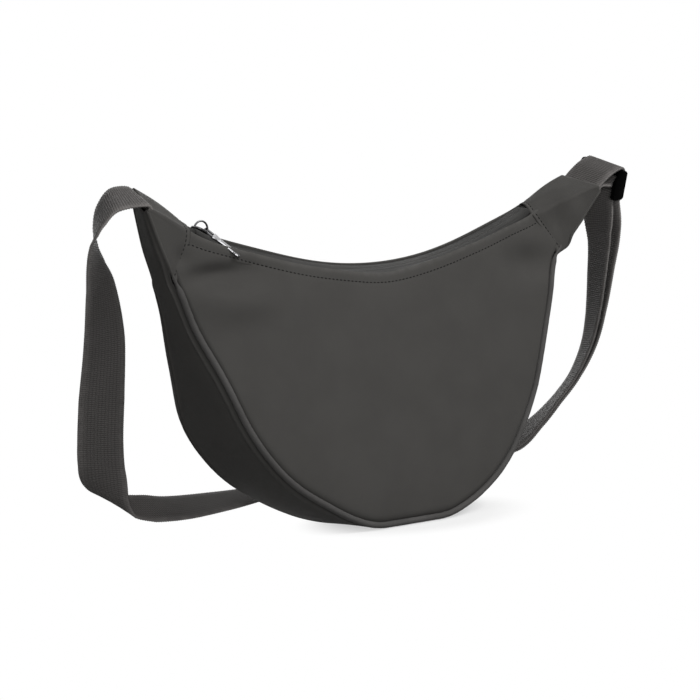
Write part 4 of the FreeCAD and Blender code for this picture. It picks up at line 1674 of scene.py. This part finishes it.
@dataclass
class Piping:
    """Piped seams: a cloth cover on a filler cord along each rim."""

    form: BodyForm
    radius: float = 2.0 * MM
    pucker: float = 0.35 * MM
    inset: float = 2.1 * MM
    proud: float = 1.0 * MM
    run_on: float = 8.0 * MM
    thin: float = 0.5
    notch: float = 5.0 * MM
    core: float = 1.3 * MM
    core_pucker: float = 0.1 * MM
    steps: int = 440

    def line(self, side: Side) -> tuple[Array, Array]:
        """Middle of a seam's bead, from the left side round to the right.

        Args:
            side: Which seam.

        Returns:
            Points, and the bead's girth at each of them, which is thin under the patches.
        """
        x, z = self.form.outline(self.inset, self.form.patch_low + self.run_on, self.steps).T
        y = side.value * (self.form.half_depth(z) - self.radius + self.proud)
        girth = 1 - (1 - self.thin) * ease((z - self.form.patch_low + self.notch) / self.notch)
        return self.form.slouch.moved(np.stack([x, y, z], 1)), girth

    def build(self) -> None:
        """Make both covers and both filler cords."""
        for side in Side:
            line, girth = self.line(side)
            for word, node, finish, radius, pucker in (
                    ("bead", "cover", Finish.PIPING, self.radius, self.pucker),
                    ("core", "cord", Finish.FILLER, self.core, self.core_pucker)):
                piece = path_piece(f"{side.label}_piping_{word}", line, girth=girth)
                grow(piece, Trees.bead(), finish, f"{side.label}_piping_{node}", radius=radius,
                     pucker=pucker, seed=side.value)


@dataclass
class Zip:
    """Zip tapes and wound coils along the mouth."""

    form: BodyForm
    slit: float = 0.55 * MM
    tape: float = 0.5 * MM
    edge_room: float = 1.45 * MM
    edge_round: float = 0.6 * MM
    ridge: float = 0.28 * MM
    ridge_end: float = 5.2 * MM
    ridge_fade: float = 1.2 * MM
    rib_pitch: float = 1.3 * MM
    rib_height: float = 0.16 * MM
    ribbed_band: float = 6.0 * MM
    tape_drop: float = 1.0 * MM
    lip_shade: float = 2.2 * MM
    slider_room: float = 5.2 * MM
    slider_blend: float = 4.5 * MM
    end_blend: float = 3.0 * MM
    line_place: float = 6.4 * MM
    line_width: float = 0.5 * MM
    line_depth: float = 0.15 * MM
    line_shade: float = 0.7
    inner_columns: Steps = (0.0, 0.45, 16)
    outer_columns: Steps = (0.45, 1.0, 8)
    tape_steps: int = 900
    coil_steps: int = 300
    coil_radius: float = 298.0 * MM
    coil_place: float = 2.2 * MM
    coil_pitch: float = 1.3 * MM
    coil_width: float = 1.9 * MM
    coil_height: float = 1.1 * MM
    wire: float = 0.32 * MM

    def tape_skin(self, side: Side) -> Skin:
        """Upper face of one tape.

        Args:
            side: Which tape.

        Returns:
            The face, with painted shade along its lip and along its sunk woven line.
        """
        form = self.form
        x, z = form.mouth(form.zip_radius, self.tape_steps).T
        share = np.concatenate([np.linspace(*self.inner_columns),
                                np.linspace(*self.outer_columns)[1:]])
        outer = form.half_depth(z) - self.edge_room
        depth = self.slit + (outer - self.slit)[:, None] * share[None, ::side.value]
        rounded = np.clip((depth - self.slit) / self.edge_round, 0.0, 1.0)
        ridge = (self.ridge * ease((self.ridge_end - depth) / self.ridge_fade)
                 * np.sqrt(rounded * (2 - rounded)))
        line = bell((depth - self.line_place) / self.line_width)
        down = form.zip_middle - z + self.tape_drop
        lift = np.hypot(x, down)[:, None] - (ridge - self.line_depth * line)
        turn = np.arctan2(x, down)[:, None]
        points = np.stack([lift * np.sin(turn), side.value * depth,
                           form.zip_middle - lift * np.cos(turn)], -1)
        weave = np.stack([np.broadcast_to(turn * form.zip_radius, depth.shape), depth], -1)
        # Painted shade under the panel's lip and along the sunk woven line.
        painted_shade = np.maximum(bell((outer[:, None] - depth) / self.lip_shade), self.line_shade * line)
        end = np.where(x > 0, form.right_zip_end, form.left_zip_end)
        past = ease((np.abs(x) - end + self.end_blend) / self.end_blend)
        free = np.maximum(ease((depth - self.slider_room) / self.slider_blend), past[:, None])
        points = points + (form.slouch.moved(points) - points) * free[..., None]
        return Skin(points, {"weave": weave, "painted_shade": painted_shade})

    def build(self) -> None:
        """Make both tapes and both coils."""
        for side in Side:
            tape = thick_sheet(f"{side.label}_tape_cloth", self.tape_skin(side), self.tape)
            grow(tape, Trees.ribs(), Finish.TAPE, f"{side.label}_zip_tape", pitch=self.rib_pitch,
                 height=self.rib_height, band=self.ribbed_band)
            x, z = self.form.mouth(self.coil_radius, self.coil_steps).T
            place = side.value * self.coil_place
            middle = np.stack([x, np.full(self.coil_steps, place), z], 1)
            up = unit(np.array([0.0, place, self.form.zip_middle]) - middle)
            coil = path_piece(f"{side.label}_coil_wire", middle, facing=up)
            grow(coil, Trees.coil(), Finish.COIL, f"{side.label}_zip_coil", pitch=self.coil_pitch,
                 width=self.coil_width, height=self.coil_height, wire=self.wire)


def placed(middle: Array, *axes: Array) -> Matrix:
    """Matrix that turns a shape's three axes to the given ones and carries it to a place."""
    turn = Matrix([list(axis) for axis in axes]).transposed().to_4x4()
    return Matrix.Translation(Vector(middle)) @ turn


@dataclass
class ZipSlider:
    """Zip slider with its bail, and the pull that hangs from it."""

    form: BodyForm
    length: float = 11.0 * MM
    width: float = 10.0 * MM
    plate: float = 1.3 * MM
    plate_bevel: float = 0.32 * MM
    gap: float = 0.3 * MM
    stack: float = 2.9 * MM
    stand_off: float = 9.0 * MM
    bite: float = 0.2 * MM
    neck_inset: float = 2.0 * MM
    neck_length: float = 4.0 * MM
    neck_half: float = 0.5 * MM
    neck_bevel: float = 0.12 * MM
    flange_x: Pair = (-3.4 * MM, 1.6 * MM)
    flange_y: Pair = (3.8 * MM, 4.6 * MM)
    flange_drop: float = 1.1 * MM
    flange_bevel: float = 0.15 * MM
    bail_length: float = 11.0 * MM
    bail_height: float = 5.6 * MM
    bail_width: float = 1.5 * MM
    bail_wire: float = 1.2 * MM
    bail_foot: float = 0.4 * MM
    bail_steps: int = 25
    bail_around: int = 16
    pin_place: float = 2.6 * MM
    pin_height: float = 2.8 * MM
    pull_yaw: float = math.radians(32.0)
    pull_drop: float = math.radians(17.0)
    pull_roll: float = math.radians(26.0)
    pull_spread: float = 1.7
    pull_scale: float = 0.93
    pull_bevel: float = 0.55
    bevel_share: float = 0.7
    bevel_slant: float = 1.6
    eye_half: float = 2.85 * MM
    eye_length: float = 7.6 * MM
    eye_bend: float = 1.3 * MM
    bend_steps: int = 6
    eye_wire: float = 0.68 * MM
    eye_squash: float = 1.15
    eye_steps: int = 60
    eye_around: int = 12
    slider_crease: float = 50.0
    pull_crease: float = 24.0

    # Half outline of a plate, as shares of its half length and half width.
    shoulder = ((1.0, 0.30), (0.86, 0.62), (0.45, 0.78), (-0.10, 0.96), (-0.55, 1.0), (-0.86, 0.82),
                (-1.0, 0.45))
    # Bar of the pull in millimetres: distance from the pin, half width unspread, half thickness.
    pull_bar = ((6.9, 2.6, 0.60), (7.3, 3.2, 0.78), (8.6, 3.1, 0.82), (10.4, 2.3, 0.85),
                (12.5, 1.95, 0.85), (21.5, 1.95, 0.82), (23.6, 2.1, 0.80), (24.3, 1.75, 0.62),
                (24.8, 1.75, 0.62), (25.4, 2.25, 0.80), (27.6, 2.1, 0.75), (28.6, 1.5, 0.60),
                (29.0, 0.9, 0.35))

    def to_rest(self) -> Matrix:
        """Turn a piece about the mouth's axis, from the lowest point to the slider's place.

        Returns:
            The turn.
        """
        turn = math.asin((self.form.left_zip_end - self.stand_off) / self.form.zip_radius)
        axis = Matrix.Translation((0.0, 0.0, self.form.zip_middle))
        return axis @ Matrix.Rotation(turn, 4, "Y") @ axis.inverted()

    def shield(self) -> list[Pair]:
        """Outline of a plate, anticlockwise from above: broad shoulder, narrow tail."""
        corners = [(x * self.length / 2, y * self.width / 2) for x, y in self.shoulder]
        return corners + [(x, -y) for x, y in reversed(corners)]

    def slider_shapes(self) -> list[Shape]:
        """Make plates, neck, flanges and bail at the mouth's lowest point.

        Returns:
            Points and faces of each shape.
        """
        mouth = self.form.mouth_height
        top, floor = mouth + self.gap + self.plate, mouth - self.stack - self.gap
        shapes = [bevelled_prism(self.shield(), high - self.plate, high, self.plate_bevel)
                  for high in (top, floor)]
        neck = self.neck_inset - self.length / 2
        shapes.append(block((neck, neck + self.neck_length), (-self.neck_half, self.neck_half),
                            (floor - self.bite, top - self.plate + self.bite), self.neck_bevel))
        for sign in (-1, 1):
            y = tuple(sorted(sign * place for place in self.flange_y))
            shapes.append(block(self.flange_x, y, (floor - self.bite, mouth - self.flange_drop),
                                self.flange_bevel))
        turns = np.linspace(0.0, math.pi, self.bail_steps)
        arch = np.stack([np.cos(turns) * (self.bail_length - self.bail_wire) / 2,
                         np.zeros(self.bail_steps),
                         top + np.sin(turns) * (self.bail_height - self.bail_wire / 2)], 1)
        foot = Z_AXIS * self.bail_foot
        arch = np.concatenate([arch[:1] - foot, arch, arch[-1:] - foot])
        section = round_section(self.bail_width / 2, self.bail_around,
                                self.bail_wire / self.bail_width)
        return shapes + [swept(arch, Y_AXIS, section, closed=False)]

    def pull_shapes(self) -> list[Shape]:
        """Make the pull with its eye round the bail, lying along X from its pin.

        Returns:
            Points and faces of the eye and the bar.
        """
        bend, side = self.eye_bend, self.eye_half - self.eye_bend
        far, near = (self.eye_length - bend, bend), (bend / 2, bend / 2)
        loop = []
        quarters = ((far, side), (near, side), (near, -side), (far, -side))
        for quarter, ((x, reach), y) in enumerate(quarters):
            for turn in np.linspace(0.0, math.pi / 2, self.bend_steps) + quarter * math.pi / 2:
                loop.append((x + reach * math.cos(turn), y + bend * math.sin(turn), 0.0))
        path = resampled(np.array(loop + loop[:1]), self.eye_steps + 1)[:-1]
        section = round_section(self.eye_wire, self.eye_around, self.eye_squash)
        rings = []
        for x, narrow, thick in self.pull_bar:
            cut, wide = min(self.pull_bevel, thick * self.bevel_share), narrow * self.pull_spread
            flat = wide - self.bevel_slant * cut
            half = [(wide, cut - thick), (wide, thick - cut), (flat, thick), (-flat, thick)]
            rings.append([(x, y, z) for y, z in half] + [(x, -y, -z) for y, z in half])
        return [swept(path, Z_AXIS, section[:, ::-1], closed=True), lofted(np.array(rings) * MM)]

    def build(self) -> None:
        """Make the slider and the pull in their places."""
        rest = self.to_rest()
        fit("slider_body", self.slider_shapes(), rest, self.slider_crease, Finish.METAL,
            "zip_slider", "slider")
        pin = (self.pin_place, 0.0, self.form.mouth_height + self.pin_height)
        place = rest @ Matrix.Translation(pin)
        for angle, axis in ((-self.pull_yaw, "Z"), (self.pull_drop, "Y"), (self.pull_roll, "X")):
            place = place @ Matrix.Rotation(angle, 4, axis)
        fit("pull_bar", self.pull_shapes(), place @ Matrix.Scale(self.pull_scale, 4),
            self.pull_crease, Finish.METAL, "zip_pull", "pull")


@dataclass
class Station:
    """One place along a webbing: its middle, its width direction and the spread of two layers."""

    middle: Array
    across: Array
    spread: float = 0.0


def station(middle: Triple, across: Triple, spread: float = 0.0) -> Station:
    """Make a station from millimetres and a width direction of any length."""
    return Station(np.array(middle) * MM, unit(np.array(across, dtype=float)), spread * MM)


def smoothed(stations: list[Station], steps: int) -> list[Station]:
    """Fill in stations along a smooth curve.

    Args:
        stations: Stations that the curve passes through.
        steps: New stations for each stretch between two.

    Returns:
        All stations.
    """
    first, last = (Station(end.middle * 2 - inner.middle, end.across, end.spread)
                   for end, inner in (stations[:2], stations[:-3:-1]))
    padded = [first] + stations + [last]
    filled = []
    for a, b, c, d in zip(padded, padded[1:], padded[2:], padded[3:]):
        for step in range(steps):
            t = step / steps
            middle = (b.middle * 2 + (c.middle - a.middle) * t
                      + (a.middle * 2 - b.middle * 5 + c.middle * 4 - d.middle) * t ** 2
                      + (b.middle * 3 - a.middle - c.middle * 3 + d.middle) * t ** 3) / 2
            across = unit(b.across * (1 - t) + c.across * t)
            filled.append(Station(middle, across, b.spread * (1 - t) + c.spread * t))
    return filled + [stations[-1]]


def lines_of(stations: list[Station]) -> tuple[Array, Array]:
    """Middles and width directions of stations, one row each."""
    return (np.array([item.middle for item in stations]),
            np.array([item.across for item in stations]))


def facings(stations: list[Station]) -> Array:
    """Directions square to a webbing's face at each station."""
    middles, across = lines_of(stations)
    return unit(np.cross(np.gradient(middles, axis=0), across))


@dataclass
class Webbing:
    """Ribbed strap: the long webbing, the tab with its ring, and the adjuster with the sewn end."""

    left: Tip
    right: Tip
    width: float = 30.0 * MM
    thickness: float = 1.5 * MM
    layer: float = 2.0 * MM
    gap: float = 0.3 * MM
    rib_pitch: float = 1.5 * MM
    rib_height: float = 0.34 * MM
    bar_radius: float = 2.6 * MM
    ring_height: float = 15.5 * MM
    ring_inner: float = 15.8 * MM
    ring_arm: float = 3.2 * MM
    ring_depth: float = 11.2 * MM
    ring_lean: float = math.radians(-2.0)
    ring_straight: float = 5.0 * MM
    over_end: int = 170
    ring_cut: float = 1.6 * MM
    ring_bevel: float = 0.7 * MM
    ring_shoulder: float = 0.4
    ring_bite: float = 1.0 * MM
    ring_steps: int = 40
    ring_around: int = 20
    tab_length: float = 19.5 * MM
    tab_sag: float = 2.8 * MM
    tab_hump: float = 2.3 * MM
    crest_place: float = 0.40
    fall_place: float = 0.74
    fall_hump: float = 0.7
    run_start: Triple = (-24.0 * MM, 79.0 * MM, 4.2 * MM)
    run_heading: float = math.radians(9.0)
    run_length: float = 140.0 * MM
    return_start: float = 90.0 * MM
    adjuster_place: float = 75.0 * MM
    adjuster_half: float = 14.0 * MM
    adjuster_inner: float = 15.6 * MM
    adjuster_outer: float = 18.6 * MM
    adjuster_bar: float = 1.8 * MM
    adjuster_low: float = -3.7 * MM
    adjuster_shoulder: float = -1.1 * MM
    adjuster_bevel: float = 0.6 * MM
    adjuster_side: float = 4.0 * MM
    side_bevel: float = 0.7 * MM
    side_bite: float = 0.6 * MM
    bar_bite: float = 0.8 * MM
    bar_steps: int = 60
    bar_around: int = 16
    strap_room: float = 0.5 * MM
    hard_crease: float = 50.0
    strap_steps: int = 8
    tab_steps: int = 6
    sewn_tail: float = 13.0 * MM

    # Left drop, in millimetres from the tip and then from the origin: place, then width direction.
    left_arch = (
        ((-15.6, 2.0, -1.8), (0.35, 0.87, 0.35)), ((-24.4, 3.0, -11.0), (0.39, 0.89, 0.25)),
        ((-26.9, 5.0, -20.6), (0.49, 0.87, 0.07)), ((-25.7, 8.0, -29.1), (0.64, 0.76, -0.13)),
        ((-21.4, 13.0, -39.2), (0.78, 0.62, -0.06)), ((-12.5, 22.0, -55.9), (0.91, 0.40, 0.08)))
    left_drop = (
        ((-173.6, 38.0, 121.9), (1.00, 0.06, 0.07)), ((-164.6, 56.0, 82.1), (0.98, -0.17, 0.01)),
        ((-158.8, 67.0, 55.0), (0.97, -0.20, 0.00)), ((-154.0, 73.5, 36.0), (0.95, -0.30, -0.10)),
        ((-146.0, 80.0, 17.5), (0.50, -0.84, -0.22)), ((-138.5, 77.0, 9.5), (0.22, -0.89, -0.38)),
        ((-128.5, 68.5, 7.5), (0.20, -0.87, -0.45)), ((-116.0, 64.0, 6.5), (0.22, -0.88, -0.41)),
        ((-98.0, 65.0, 5.4), (0.20, -0.93, -0.30)), ((-60.0, 72.0, 4.3), (0.16, -0.98, -0.16)))
    # Right drop from the floor up to the ring: place, width direction and spread of the two layers.
    right_drop = (
        ((128.0, 100.0, 6.6), (0.08, -0.99, -0.03), 2.0),
        ((150.0, 93.0, 8.6), (-0.10, -0.98, -0.10), 2.0),
        ((172.0, 77.0, 12.5), (-0.32, -0.93, -0.16), 1.8),
        ((185.7, 57.0, 20.5), (-0.50, -0.84, -0.20), 1.7),
        ((195.0, 44.0, 35.0), (-0.60, -0.79, -0.10), 1.7),
        ((203.0, 33.0, 51.4), (-0.62, -0.78, 0.00), 1.75),
        ((211.0, 24.0, 69.0), (-0.57, -0.82, 0.08), 2.0),
        ((214.5, 15.0, 91.0), (-0.50, -0.85, 0.12), 3.0),
        ((213.5, 8.0, 114.0), (-0.43, -0.88, 0.16), 3.8),
        ((212.0, 3.0, 144.3), (-0.32, -0.92, 0.20), 5.5),
        ((211.5, 1.0, 168.0), (-0.24, -0.94, 0.22), 7.6))

    def __post_init__(self) -> None:
        """Work out the ring's directions and the run's directions."""
        self.wrap_radius = self.bar_radius + self.gap + self.thickness / 2
        self.ring_across = -self.right.back
        hang = np.array([-math.sin(self.ring_lean), 0.0, -math.cos(self.ring_lean)])
        self.ring_down = unit(hang - self.ring_across * np.dot(hang, self.ring_across))
        self.ring_out = unit(np.cross(self.ring_across, self.ring_down))
        self.ring_top = self.right.at(self.tab_length, 0.0, 0.0)
        self.ring_low = self.ring_top + self.ring_down * self.ring_height
        self.run_way = np.array([math.cos(self.run_heading), math.sin(self.run_heading), 0.0])
        self.run_across = np.array([self.run_way[1], -self.run_way[0], 0.0])
        self.bar_lift = self.thickness * 1.5 + self.strap_room + self.gap + self.adjuster_bar
        self.loop_radius = self.adjuster_bar + self.gap + self.thickness / 2

    def on_run(self, along: float, lift: float, spread: float = 0.0) -> Station:
        """Station on the straight run, lifted above the main webbing."""
        middle = np.array(self.run_start) + self.run_way * along + np.array([0.0, 0.0, lift])
        return Station(middle, self.run_across, spread)

    def on_floor(self, stations: list[Station]) -> list[Station]:
        """Lift stations so that the webbing's lower edge stays clear of the floor.

        Args:
            stations: The stations, which are changed in place.

        Returns:
            The same stations.
        """
        for item in stations:
            least = abs(item.across[2]) * self.width / 2 + self.thickness / 2 + self.gap
            item.middle[2] = max(item.middle[2], least)
        return stations

    @staticmethod
    def wrapped(middle: Array, first: Array, second: Array, radius: float,
                across: Array, last: int = 180, step: int = 10) -> list[Station]:
        """Stations round a bar.

        Args:
            middle: Middle of the bar.
            first: Direction of the first station.
            second: Direction of the station a quarter turn on.
            radius: Middle of the webbing from the middle of the bar.
            across: Width direction.
            last: Angle of the last station in degrees.
            step: Angle from one station to the next.

        Returns:
            The stations.
        """
        turns = np.radians(range(0, last + 1, step))
        ways = [first * math.cos(turn) + second * math.sin(turn) for turn in turns]
        return [Station(middle + way * radius, across) for way in ways]

    def strap_line(self) -> list[Station]:
        """Left tip, floor, up to the ring, over its lower bar and back down.

        Returns:
            The stations.
        """
        left = [Station(self.left.in_sleeve(0.0), self.left.back),
                Station(self.left.at(0.0, 0.0, -self.gap), self.left.back)]
        for place, across in self.left_arch:
            hung = station(place, across)
            left.append(Station(self.left.place + hung.middle, hung.across))
        left += self.on_floor([station(*row) for row in self.left_drop])
        left.append(self.on_run(0.0, 0.0))
        at_bar = self.ring_low - self.ring_out * self.wrap_radius
        hanging = Station(at_bar + self.ring_down * self.ring_straight, self.ring_across,
                          2 * self.wrap_radius)
        drop = self.on_floor([station(*row) for row in self.right_drop])
        inner = smoothed([self.on_run(self.run_length, self.layer, self.layer)] + drop + [hanging],
                         self.strap_steps)
        inner.append(Station(at_bar, self.ring_across))
        outer = [Station(item.middle + normal * item.spread, item.across)
                 for item, normal in zip(inner, facings(inner))]
        over = self.wrapped(self.ring_low, self.ring_out, -self.ring_down, self.wrap_radius,
                            self.ring_across, self.over_end)
        back = inner[::-1] + [self.on_run(self.return_start, self.layer)]
        return smoothed(left, self.strap_steps) + outer[:-1] + over + back

    def tab_line(self) -> list[Station]:
        """Short loop that ties the ring into the right tip.

        Returns:
            The stations.
        """
        across, half, hump = self.ring_across, self.layer / 2, self.tab_hump
        middle = (half + self.wrap_radius) / 2
        crest = [Station(self.right.at(self.tab_length * share, 0.0, lift), across)
                 for share, lift in ((0.0, half), (self.crest_place, half + hump),
                                     (self.fall_place, middle + hump * self.fall_hump))]
        fold = self.wrapped(self.ring_top, self.right.up, self.right.out, self.wrap_radius, across)
        upper = smoothed([Station(self.right.in_sleeve(half), across)] + crest + fold[:1],
                         self.tab_steps)[:-1]
        lower = [Station(self.right.at(self.tab_length / 2, 0.0, -middle - self.tab_sag), across),
                 Station(self.right.at(0.0, 0.0, -half), across),
                 Station(self.right.in_sleeve(-half), across)]
        return upper + fold + smoothed(fold[-1:] + lower, self.tab_steps)[1:]

    def end_line(self) -> list[Station]:
        """End of the webbing, sewn round the adjuster's centre bar.

        Returns:
            The stations.
        """
        lying = self.layer + self.thickness + self.gap
        place, tail, lift = self.adjuster_place, self.sewn_tail, self.bar_lift
        fold = self.wrapped(self.on_run(place, lift).middle, -Z_AXIS, -self.run_way,
                            self.loop_radius, self.run_across)
        return [self.on_run(place + tail, lift - self.loop_radius), *fold,
                self.on_run(place + tail / 2, (lift + self.loop_radius + lying) / 2),
                self.on_run(place + tail, lying), self.on_run(self.run_length, lying)]

    def band(self, name: str, stations: list[Station], node: str, body: str) -> None:
        """Weave a band along stations and dress it.

        Args:
            name: Name of the piece.
            stations: Its middle line.
            node: Node that it stands in for.
            body: Body that carries it.
        """
        middles, across = lines_of(stations)
        grow(path_piece(name, middles, across=across), Trees.webbing(), Finish.WEBBING, node,
             body=body, width=self.width, thickness=self.thickness, rib_pitch=self.rib_pitch,
             rib_height=self.rib_height)

    def build_ring(self) -> None:
        """Make the rectangular ring: two flat arms joined by round bars."""
        face, inner, cut = self.bar_radius, self.ring_inner, self.ring_cut
        high, low, back = -face, self.ring_height + face, face - self.ring_depth
        arm = [(-face, high), (face - cut, high), (face, high + cut), (face, low - cut),
               (face - cut, low), (back + cut, low), (back, low - cut),
               (back, high + self.ring_shoulder * (low - high))]
        shapes = cheeks(arm, inner, inner + self.ring_arm, self.ring_bevel)
        shapes += [rod(down, inner + self.ring_bite, face, self.ring_steps, self.ring_around)
                   for down in (0.0, self.ring_height)]
        place = placed(self.ring_top, self.ring_out, self.ring_down, -self.ring_across)
        fit("ring_bar", shapes, place, self.hard_crease, Finish.PLASTIC, "strap_ring", "bag")

    def build_adjuster(self) -> None:
        """Make the three-bar adjuster: side bars under the strap, centre bar above it."""
        half, inner, bar = self.adjuster_half, self.adjuster_inner, self.adjuster_bar
        low, shoulder, crest = self.adjuster_low, self.adjuster_shoulder, self.bar_lift + bar
        profile = [(-half, low), (half, low), (half, shoulder), (2 * bar, crest), (-2 * bar, crest),
                   (-half, shoulder)]
        shapes = cheeks(profile, inner, self.adjuster_outer, self.adjuster_bevel)
        side, reach = self.adjuster_side, inner + self.side_bite
        shapes += [block((start, start + side), (low, shoulder), (-reach, reach), self.side_bevel)
                   for start in (-half, half - side)]
        shapes.append(rod(self.bar_lift, inner + self.bar_bite, bar, self.bar_steps,
                          self.bar_around))
        centre = self.on_run(self.adjuster_place, 0.0).middle
        place = placed(centre, self.run_way, Z_AXIS, self.run_across)
        fit("adjuster_frame", shapes, place, self.hard_crease, Finish.PLASTIC,
            "strap_adjuster", "adjuster")

    def build(self) -> None:
        """Make the strap, the tab, the ring, the adjuster and the sewn end."""
        self.band("strap_webbing", self.strap_line(), "strap", "bag")
        self.band("tab_webbing", self.tab_line(), "ring_tab", "bag")
        self.build_ring()
        self.build_adjuster()
        self.band("end_webbing", self.end_line(), "strap_end", "adjuster")


@dataclass
class Lamp:
    """A square soft box: its place, the point that it faces, its size and its power."""

    name: str
    place: Triple
    target: Triple
    size: float
    power: float

    def build(self) -> None:
        """Hang the lamp."""
        light = bpy.data.lights.new(self.name, "AREA")
        light.size = self.size
        light.energy = self.power
        lamp = bpy.data.objects.new(self.name, light)
        lamp.location = self.place
        way = Vector(self.target) - Vector(self.place)
        lamp.rotation_euler = way.to_track_quat("-Z", "Y").to_euler()
        bpy.context.scene.collection.objects.link(lamp)


@dataclass
class Studio:
    """White floor, soft light and the camera at the photograph's angle."""

    azimuth: float = math.radians(39.0)
    elevation: float = math.radians(7.4)
    distance: float = 1.5
    aim_right: float = -9.66 * MM
    aim_up: float = -4.27 * MM
    aim_height: float = 110.0 * MM
    lens: float = 120.18
    sensor: float = 36.0
    ambient: float = 0.07
    floor_drop: float = 0.3 * MM
    floor_half: float = 6.0
    floor_glow: float = 0.55
    floor_bounce: float = 0.06
    floor_tone: float = 0.94
    shadow_middle: Triple = (0.02, -0.03, 0.0)
    shadow_reach: Triple = (0.095, 0.055, 1.0)
    shadow_fade: Pair = (0.55, 1.0)
    lamps: tuple[Lamp, ...] = (
        Lamp("Key soft box", (1.0, -1.3, 2.0), (0.0, 0.0, 0.1), 1.0, 42.0),
        Lamp("Left soft box", (-1.2, -2.0, 0.5), (-0.05, 0.0, 0.12), 1.0, 29.0),
        Lamp("Back soft box", (1.1, 2.2, 0.7), (0.0, 0.0, 0.12), 2.2, 31.0),
        Lamp("Top soft box", (0.2, -0.6, 2.2), (0.0, 0.0, 0.1), 1.3, 6.0))

    def build_camera(self) -> None:
        """Set up the camera."""
        level = math.cos(self.elevation)
        back = Vector((-math.sin(self.azimuth) * level, -math.cos(self.azimuth) * level,
                       math.sin(self.elevation)))
        right = Vector((math.cos(self.azimuth), -math.sin(self.azimuth), 0.0))
        up = back.cross(right)
        aim = right * self.aim_right + up * self.aim_up + Vector((0, 0, self.aim_height))
        camera = bpy.data.cameras.new("Photograph camera")
        camera.lens = self.lens
        camera.sensor_width = self.sensor
        view = bpy.data.objects.new("Photograph camera", camera)
        view.matrix_world = placed(aim + back * self.distance, right, up, back)
        bpy.context.scene.collection.objects.link(view)
        bpy.context.scene.camera = view

    @staticmethod
    def seen(graph: Graph) -> Field:
        """Find the rays that see the background itself: straight, mirrored or through glass.

        Args:
            graph: Graph of the floor or the world.

        Returns:
            1 for such a ray, 0 for others.
        """
        path = graph.parts("ShaderNodeLightPath")
        seen = graph.math("MAXIMUM", path["Is Camera Ray"], path["Is Glossy Ray"])
        return graph.math("MAXIMUM", seen, path["Is Transmission Ray"])

    def build_world(self) -> None:
        """White surroundings that light the bag only softly."""
        world = bpy.data.worlds.new("White studio")
        bpy.context.scene.world = world
        graph = Graph.cleared(world)
        soft, white = (graph.add("ShaderNodeBackground", {"Color": WHITE, "Strength": strength})
                       for strength in (self.ambient, 1.0))
        mixed = graph.add("ShaderNodeMixShader", {0: self.seen(graph), 1: soft, 2: white})
        graph.node("ShaderNodeOutputWorld", {"Surface": mixed})

    def build_floor(self) -> None:
        """White floor that holds the bag's shadow and runs out into plain white."""
        half, low = self.floor_half, -self.floor_drop
        corners = np.array([(-half, -half, low), (half, -half, low),
                            (half, half, low), (-half, half, low)])
        floor = new_piece("floor", corners, [[0, 1, 2, 3]])
        material = bpy.data.materials.new("White floor")
        graph = Graph.cleared(material)
        spot = graph.add("ShaderNodeTexCoord", None, "Object")
        near = graph.vector("SUBTRACT", spot, self.shadow_middle)
        near = graph.vector("DIVIDE", near, self.shadow_reach)
        away = graph.add("ShaderNodeVectorMath", {0: near}, "Value", operation="LENGTH")
        seen = self.seen(graph)
        dark, light = ((tone, tone, tone, 1.0) for tone in (self.floor_bounce, self.floor_tone))
        matt = graph.add("ShaderNodeBsdfDiffuse", {"Color": graph.mix(seen, dark, light)})
        white = graph.add("ShaderNodeEmission", {"Color": WHITE, "Strength": 1.0})
        fade = graph.range(away, *self.shadow_fade, self.floor_glow, 1.0) * seen
        mixed = graph.add("ShaderNodeMixShader", {0: fade, 1: matt, 2: white})
        graph.node("ShaderNodeOutputMaterial", {"Surface": mixed})
        floor.data.materials.append(material)

    def build(self) -> None:
        """Make the whole studio."""
        self.build_floor()
        self.build_world()
        for lamp in self.lamps:
            lamp.build()
        self.build_camera()
        bpy.context.scene.view_settings.view_transform = "Standard"


def main() -> None:
    """Dress the bag piece by piece and set up the studio."""
    logging.basicConfig(level=logging.INFO, format="%(message)s")
    form = BodyForm()
    left = Tip(form, Hand.LEFT, x=-173.4 * MM, z=211.3 * MM, rise=25.0, roll=20.0, layers=1)
    right = Tip(form, Hand.RIGHT, x=196.7 * MM, z=208.5 * MM, rise=22.0, roll=15.0, layers=2,
                trim=4.0 * MM)
    caps = (EndPatch(left, front_end=142.0 * MM, back_end=137.0 * MM, bow=1.5 * MM),
            EndPatch(right, front_end=137.0 * MM, back_end=142.0 * MM, bow=-1.5 * MM))
    for part in (Panels(form), *caps, Gusset(form, (left, right)), Piping(form), Zip(form),
                 ZipSlider(form), Webbing(left, right), Studio()):
        part.build()


if __name__ == "__main__":
    main()
